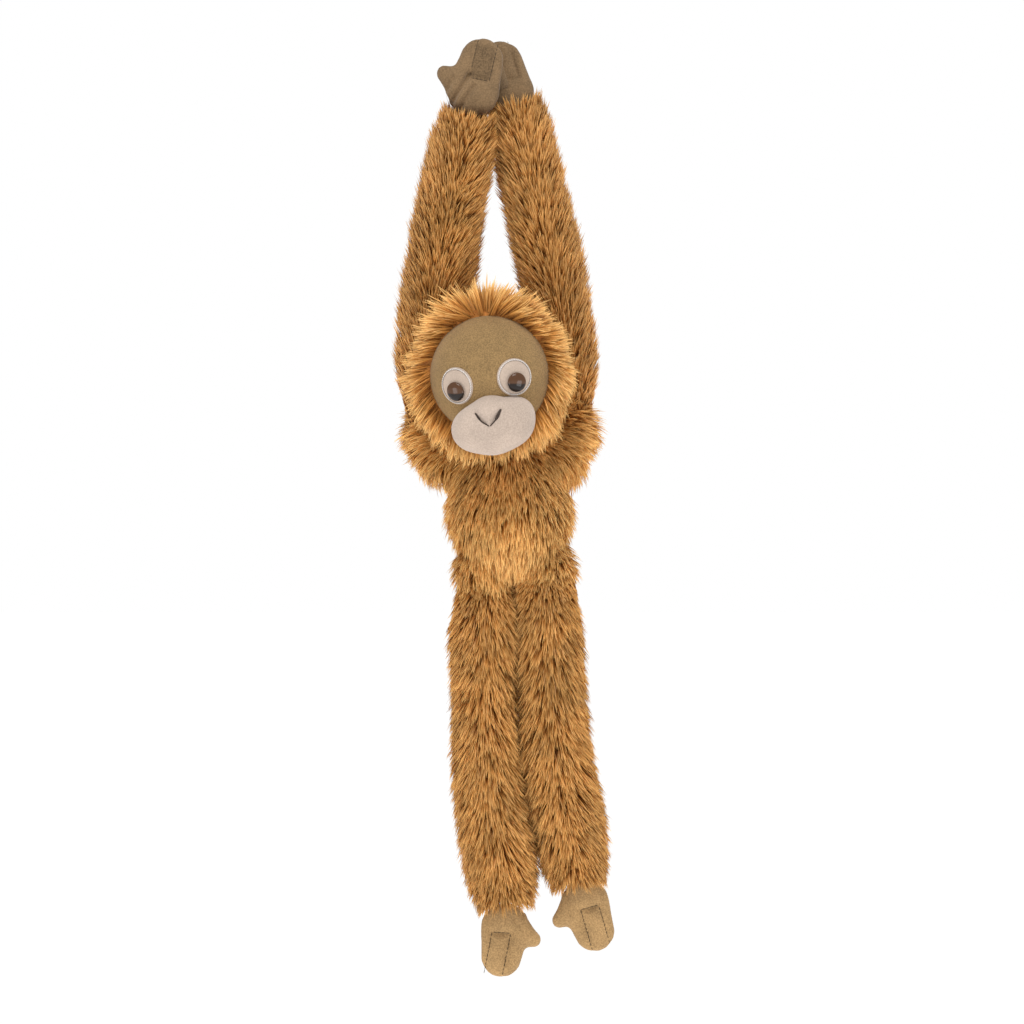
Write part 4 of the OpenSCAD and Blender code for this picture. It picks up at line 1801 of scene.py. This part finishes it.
@dataclass
class Head:
    """The furry hood round a velour face, with muzzle, eyes and nose.

    Args:
        cut: the pile's cut.
        skull: radius of the face.
        hood: radius of the hood at the back of the head.
        rim: angle from the face's middle to the hood's edge, in radians.
    """

    cut: PileCut
    skull: float = 33 * MM
    hood: float = 36.5 * MM
    rim: float = math.radians(76)
    place: HeadFrame = field(default_factory=head_frame)

    def hood_skin(self) -> Shape:
        """Makes the hood: rings about the face's axis, from inside its edge round to the back of the head.

        Returns:
            The closed hood.
        """
        under = [self.rim + 0.12, self.rim + 0.02]
        a = np.concatenate([under, np.linspace(self.rim, np.pi - 0.02, 64)])[:, None]
        inner = self.skull - 2.5 * MM
        radius = inner + (self.hood - inner) * smoothstep(a, self.rim + 0.01, self.rim + 0.16)
        radius[:2, 0] = [self.skull - 8 * MM, self.skull - 5 * MM]
        return capped_grid(self.place.out(self.rings(a) * radius[..., None]))

    def rings(self, a: Array) -> Array:
        """Gives rings of directions, each at an angle a from the way that the face looks."""
        t = np.linspace(0, FULL_TURN, 96, endpoint=False)[None, :]
        return np.stack([-np.sin(a) * np.sin(t), -np.cos(a) + 0 * t, np.sin(a) * np.cos(t)], -1)

    def flow(self, places: Array, normals: Array) -> Array:
        """Combs the pile away from a whorl over the brow, out round the face, and down on cheeks and nape.

        Args:
            places: where the pile stands.
            normals: of the hood there.

        Returns:
            The way the pile lies, of any length.
        """
        local = self.place.back(places) / self.hood
        from_whorl = local - np.array([0.05, -0.42, 0.86])
        whorl = unit(self.place.turn(from_whorl))
        back = self.place.turn(np.tile([0.0, 1.0, 0.0], (len(places), 1)))
        low = smoothstep(-local[:, 2], -0.30, 0.55)[:, None]
        near = np.exp(-((np.linalg.norm(from_whorl, axis=1) / 0.75) ** 2))[:, None]
        out = self.place.turn(local * np.array([1.0, 0.0, 0.6]))
        down = np.array([0.0, 0.0, -1.0])
        over = 1.6 * near * whorl + back * (0.75 - 0.5 * low) * (1 - near)
        return over + down * (0.1 + 0.8 * low) + 0.55 * out * low

    def keep(self, places: Array) -> Array:
        """Leaves the pile off the part of the hood that is turned in under the face.

        Args:
            places: on the hood.

        Returns:
            One chance for each place.
        """
        local = self.place.back(places)
        return (np.linalg.norm(local, axis=1) > self.skull - 0.3 * MM).astype(float)

    def trim(self, places: Array) -> Array:
        """Gives the pile's length as a share: uneven, longer on the crown and shorter at the face's edge.

        Args:
            places: on the hood.

        Returns:
            One share for each place.
        """
        x, y, z = (self.place.back(places) / self.hood).T
        uneven = 0.10 * np.sin(5.0 * x + 3.0 * z) + 0.06 * np.sin(11.0 * z - 4.0 * x)
        crown = smoothstep(z, 0.55, 0.95)
        edge = smoothstep(-y, 0.0, 0.35) * smoothstep(z, -0.1, 0.6)
        return 0.98 + uneven + 0.34 * crown - 0.12 * edge

    def build(self) -> None:
        """Makes the hood with its pile, then the face, the muzzle and the eyes."""
        skin = self.hood_skin()
        add_piece("head_cover", skin, BACKING, "head", ("head_hood", "head_stuffing"))
        for name, side in (("head_right_pile", -1.0), ("head_left_pile", 1.0)):

            def half(places: Array, side: float = side) -> Array:
                """Keeps the pile of one half."""
                return self.keep(places) * (self.place.back(places)[:, 0] * side > 0)

            pile = grow(name, skin, self.cut, self.flow, HEAD_SEED + int(side), half, self.trim, HEAD_PILE)
            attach(pile, "head")
        self.face()
        Muzzle(self.place).build()
        for side in Side:
            Eye(side, self.place, self.skull).build()

    def face(self) -> None:
        """Makes the domed velour face: a ball cap about the face's axis, tucked in under the hood's edge."""
        a = np.linspace(0.02, self.rim + 0.10, 60)[:, None]
        cap = capped_grid(self.place.out(self.rings(a) * self.skull))
        add_piece("face", cap, TAN_VELOUR, "head", ("face_panel",))


# ---------------------------------------------------------------- the room


@dataclass(frozen=True)
class Studio:
    """A pale floor far under the hanging toy, soft light all round and a long lens in front.

    Args:
        distance: from the camera to the toy.
        view_height: height of the picture at the toy.
        aim: middle of the picture.
        floor: height of the floor.
        ambient: strength of the light all round, which the camera sees as white.
    """

    distance: float = 2.4
    view_height: float = 0.5632
    aim: tuple = (7.7 * MM, 0.0, -203 * MM)
    floor: float = -0.95
    ambient: float = 0.50

    def build(self) -> None:
        """Makes the floor, the lights, the world and the camera."""
        size = 30.0
        corners = np.array([[-1, -1, 0], [1, -1, 0], [1, 1, 0], [-1, 1, 0]]) * size + [0, 0, self.floor]
        floor = make_mesh("floor", Shape(corners, np.array([[0, 1, 2, 3]])), False)
        paper = bpy.data.materials.new("Pale floor")
        paper.use_nodes = True
        shader = paper.node_tree.nodes["Principled BSDF"]
        shader.inputs["Base Color"].default_value = (0.95, 0.95, 0.95, 1)
        shader.inputs["Roughness"].default_value = 0.9
        shader.inputs["Emission Color"].default_value = (1, 1, 1, 1)
        shader.inputs["Emission Strength"].default_value = 0.55
        floor.data.materials.append(paper)
        world = bpy.data.worlds.new("Studio")
        bpy.context.scene.world = world
        bpy.context.scene.view_settings.view_transform = "Standard"
        world.use_nodes = True
        tree = world.node_tree
        sky = tree.nodes["Background"]
        sky.inputs["Color"].default_value = (1, 1, 1, 1)
        sky.inputs["Strength"].default_value = self.ambient
        seen = tree.nodes.new("ShaderNodeBackground")
        seen.inputs["Color"].default_value = (1, 1, 1, 1)
        choice = tree.nodes.new("ShaderNodeMixShader")
        tree.links.new(tree.nodes.new("ShaderNodeLightPath").outputs["Is Camera Ray"], choice.inputs[0])
        tree.links.new(sky.outputs[0], choice.inputs[1])
        tree.links.new(seen.outputs[0], choice.inputs[2])
        tree.links.new(choice.outputs[0], tree.nodes["World Output"].inputs["Surface"])
        self.light("left box", (-0.95, -0.70, -0.25), 0.6, 4.6)
        self.light("right box", (0.95, -0.70, -0.25), 0.6, 4.6)
        self.light("top box", (0.0, -0.7, 1.4), 0.8, 18.0)
        camera = bpy.data.objects.new("camera", bpy.data.cameras.new("camera"))
        bpy.context.scene.collection.objects.link(camera)
        camera.location = (self.aim[0], self.aim[1] - self.distance, self.aim[2])
        camera.rotation_euler = (math.pi / 2, 0, 0)
        camera.data.sensor_width = 36.0
        camera.data.lens = 36.0 * self.distance / self.view_height
        bpy.context.scene.camera = camera

    def light(self, name: str, place: tuple, size: float, power: float) -> None:
        """Hangs a soft square light that faces the toy.

        Args:
            name: the lamp's name.
            place: from the middle of the picture.
            size: of the lamp's side.
            power: in watts.
        """
        data = bpy.data.lights.new(name, "AREA")
        data.size, data.energy = size, power
        lamp = bpy.data.objects.new(name, data)
        bpy.context.scene.collection.objects.link(lamp)
        at = np.array(place) + np.array(self.aim)
        lamp.location = at
        way = unit(at - np.array(self.aim))
        lamp.rotation_euler = (math.acos(way[2]), 0, math.atan2(way[1], way[0]) + math.pi / 2)


# ---------------------------------------------------------------- all of it


def hands_and_feet() -> list[Mitt]:
    """Lists the four mitts with their places: the hands palm to palm over the head, the feet hanging.

    Returns:
        The mitts, not yet built.
    """

    def mitt(kind: str, side: Side, shift: tuple, turn: float, flips: tuple, **more) -> Mitt:
        name = f"{side.value}_{kind}"
        hand = kind == "hand"
        faces = ("back", "palm") if hand else ("top", "sole")
        return Mitt(
            name, f"{side.value}_{'wrist' if hand else 'ankle'}_bend", (14.5 if hand else 13.5) * MM,
            (46 if hand else 43) * MM, tuple(v * MM for v in shift), turn, flips,
            tuple(f"{name}_{part}" for part in (*faces, "stuffing")),
            f"{side.value}_{'finger' if hand else 'toe'}_stitching", HAND_VELOUR if hand else FOOT_VELOUR,
            root_share=0.5 if hand else 0.42, **more,
        )

    return [
        mitt(
            "hand", Side.RIGHT, (1, 0.4, 0), 12, (-1, 1, 1), patch_shift=-3.5 * MM,
            folds=(
                ((0.75, 0.45), (0.25, 1.7), 2.1), ((0.35, 0.30), (0.0, 1.3), 1.7),
                ((1.05, 0.85), (0.8, 1.45), 1.1),
            ),
        ),
        mitt(
            "hand", Side.LEFT, (-4.5, -0.4, 0), -17, (-1, 1, -1), patch_shift=6.5 * MM,
            folds=(((0.1, 0.5), (-0.6, 1.8), 1.5),),
        ),
        mitt(
            "foot", Side.RIGHT, (1, 0, 0), 4, (1, -1, 1), line_lean=-3 * MM,
            folds=(((-0.6, 0.5), (-0.62, 1.4), 0.8), ((0.3, 0.7), (0.9, 1.3), 0.5)),
        ),
        mitt(
            "foot", Side.LEFT, (0, 0, 1), -15, (-1, -1, 1), line_lean=-0.5 * MM,
            folds=(((0.62, 0.5), (0.66, 1.4), 0.8), ((-0.3, 0.7), (-0.2, 1.1), 0.4)),
        ),
    ]


def arms_and_legs() -> list[Limb]:
    """Lists the four limbs, each side's arm and then its leg, with radii from root to end.

    Returns:
        The limbs, not yet built.
    """
    arm_radii = ((5, 10, 11.3, 11.5, 11.4, 10), (5, 8.5, 10, 11.2, 10.3, 10))
    arm_short, arm_lean = (1 * MM, -6 * MM), (1 * MM, -4 * MM)
    leg_radii = ((10.5, 11.6, 11, 11.5, 12.6, 11.8), (13, 11.6, 11, 11.5, 12.6, 11.8))
    limbs = []
    for number, side in enumerate(Side):
        limbs.append(Limb(
            side, "arm", ("shoulder_spread", "elbow_bend", "wrist_bend"), ("upper_arm", "forearm", "hand"),
            tuple(r * MM for r in arm_radii[number]), 8 * MM, arm_short[number], 10 + number,
            lean=(arm_lean[number], 0, 0),
        ))
        limbs.append(Limb(
            side, "leg", ("hip_swing", "knee_bend", "ankle_bend"), ("thigh", "shin", "foot"),
            tuple(r * MM for r in leg_radii[number]), 14 * MM, 1.5 * MM, 20 + number, inner=0.28,
        ))
    return limbs


def main() -> None:
    """Builds the toy's parts in order."""
    logging.basicConfig(level=logging.INFO, format="%(name)s: %(message)s")
    for make in (locks_group, nap_group, twist_group, eye_group, moulded_group):
        make()
    pile = PileCut()
    Studio().build()
    for mitt in hands_and_feet():
        mitt.build()
    Head(PileCut(length=17 * MM, stand=0.42, gather=0.2, swirl=0.14)).build()
    Torso(pile).build()
    for limb in arms_and_legs():
        limb.build(pile)


if __name__ == "__main__":
    main()
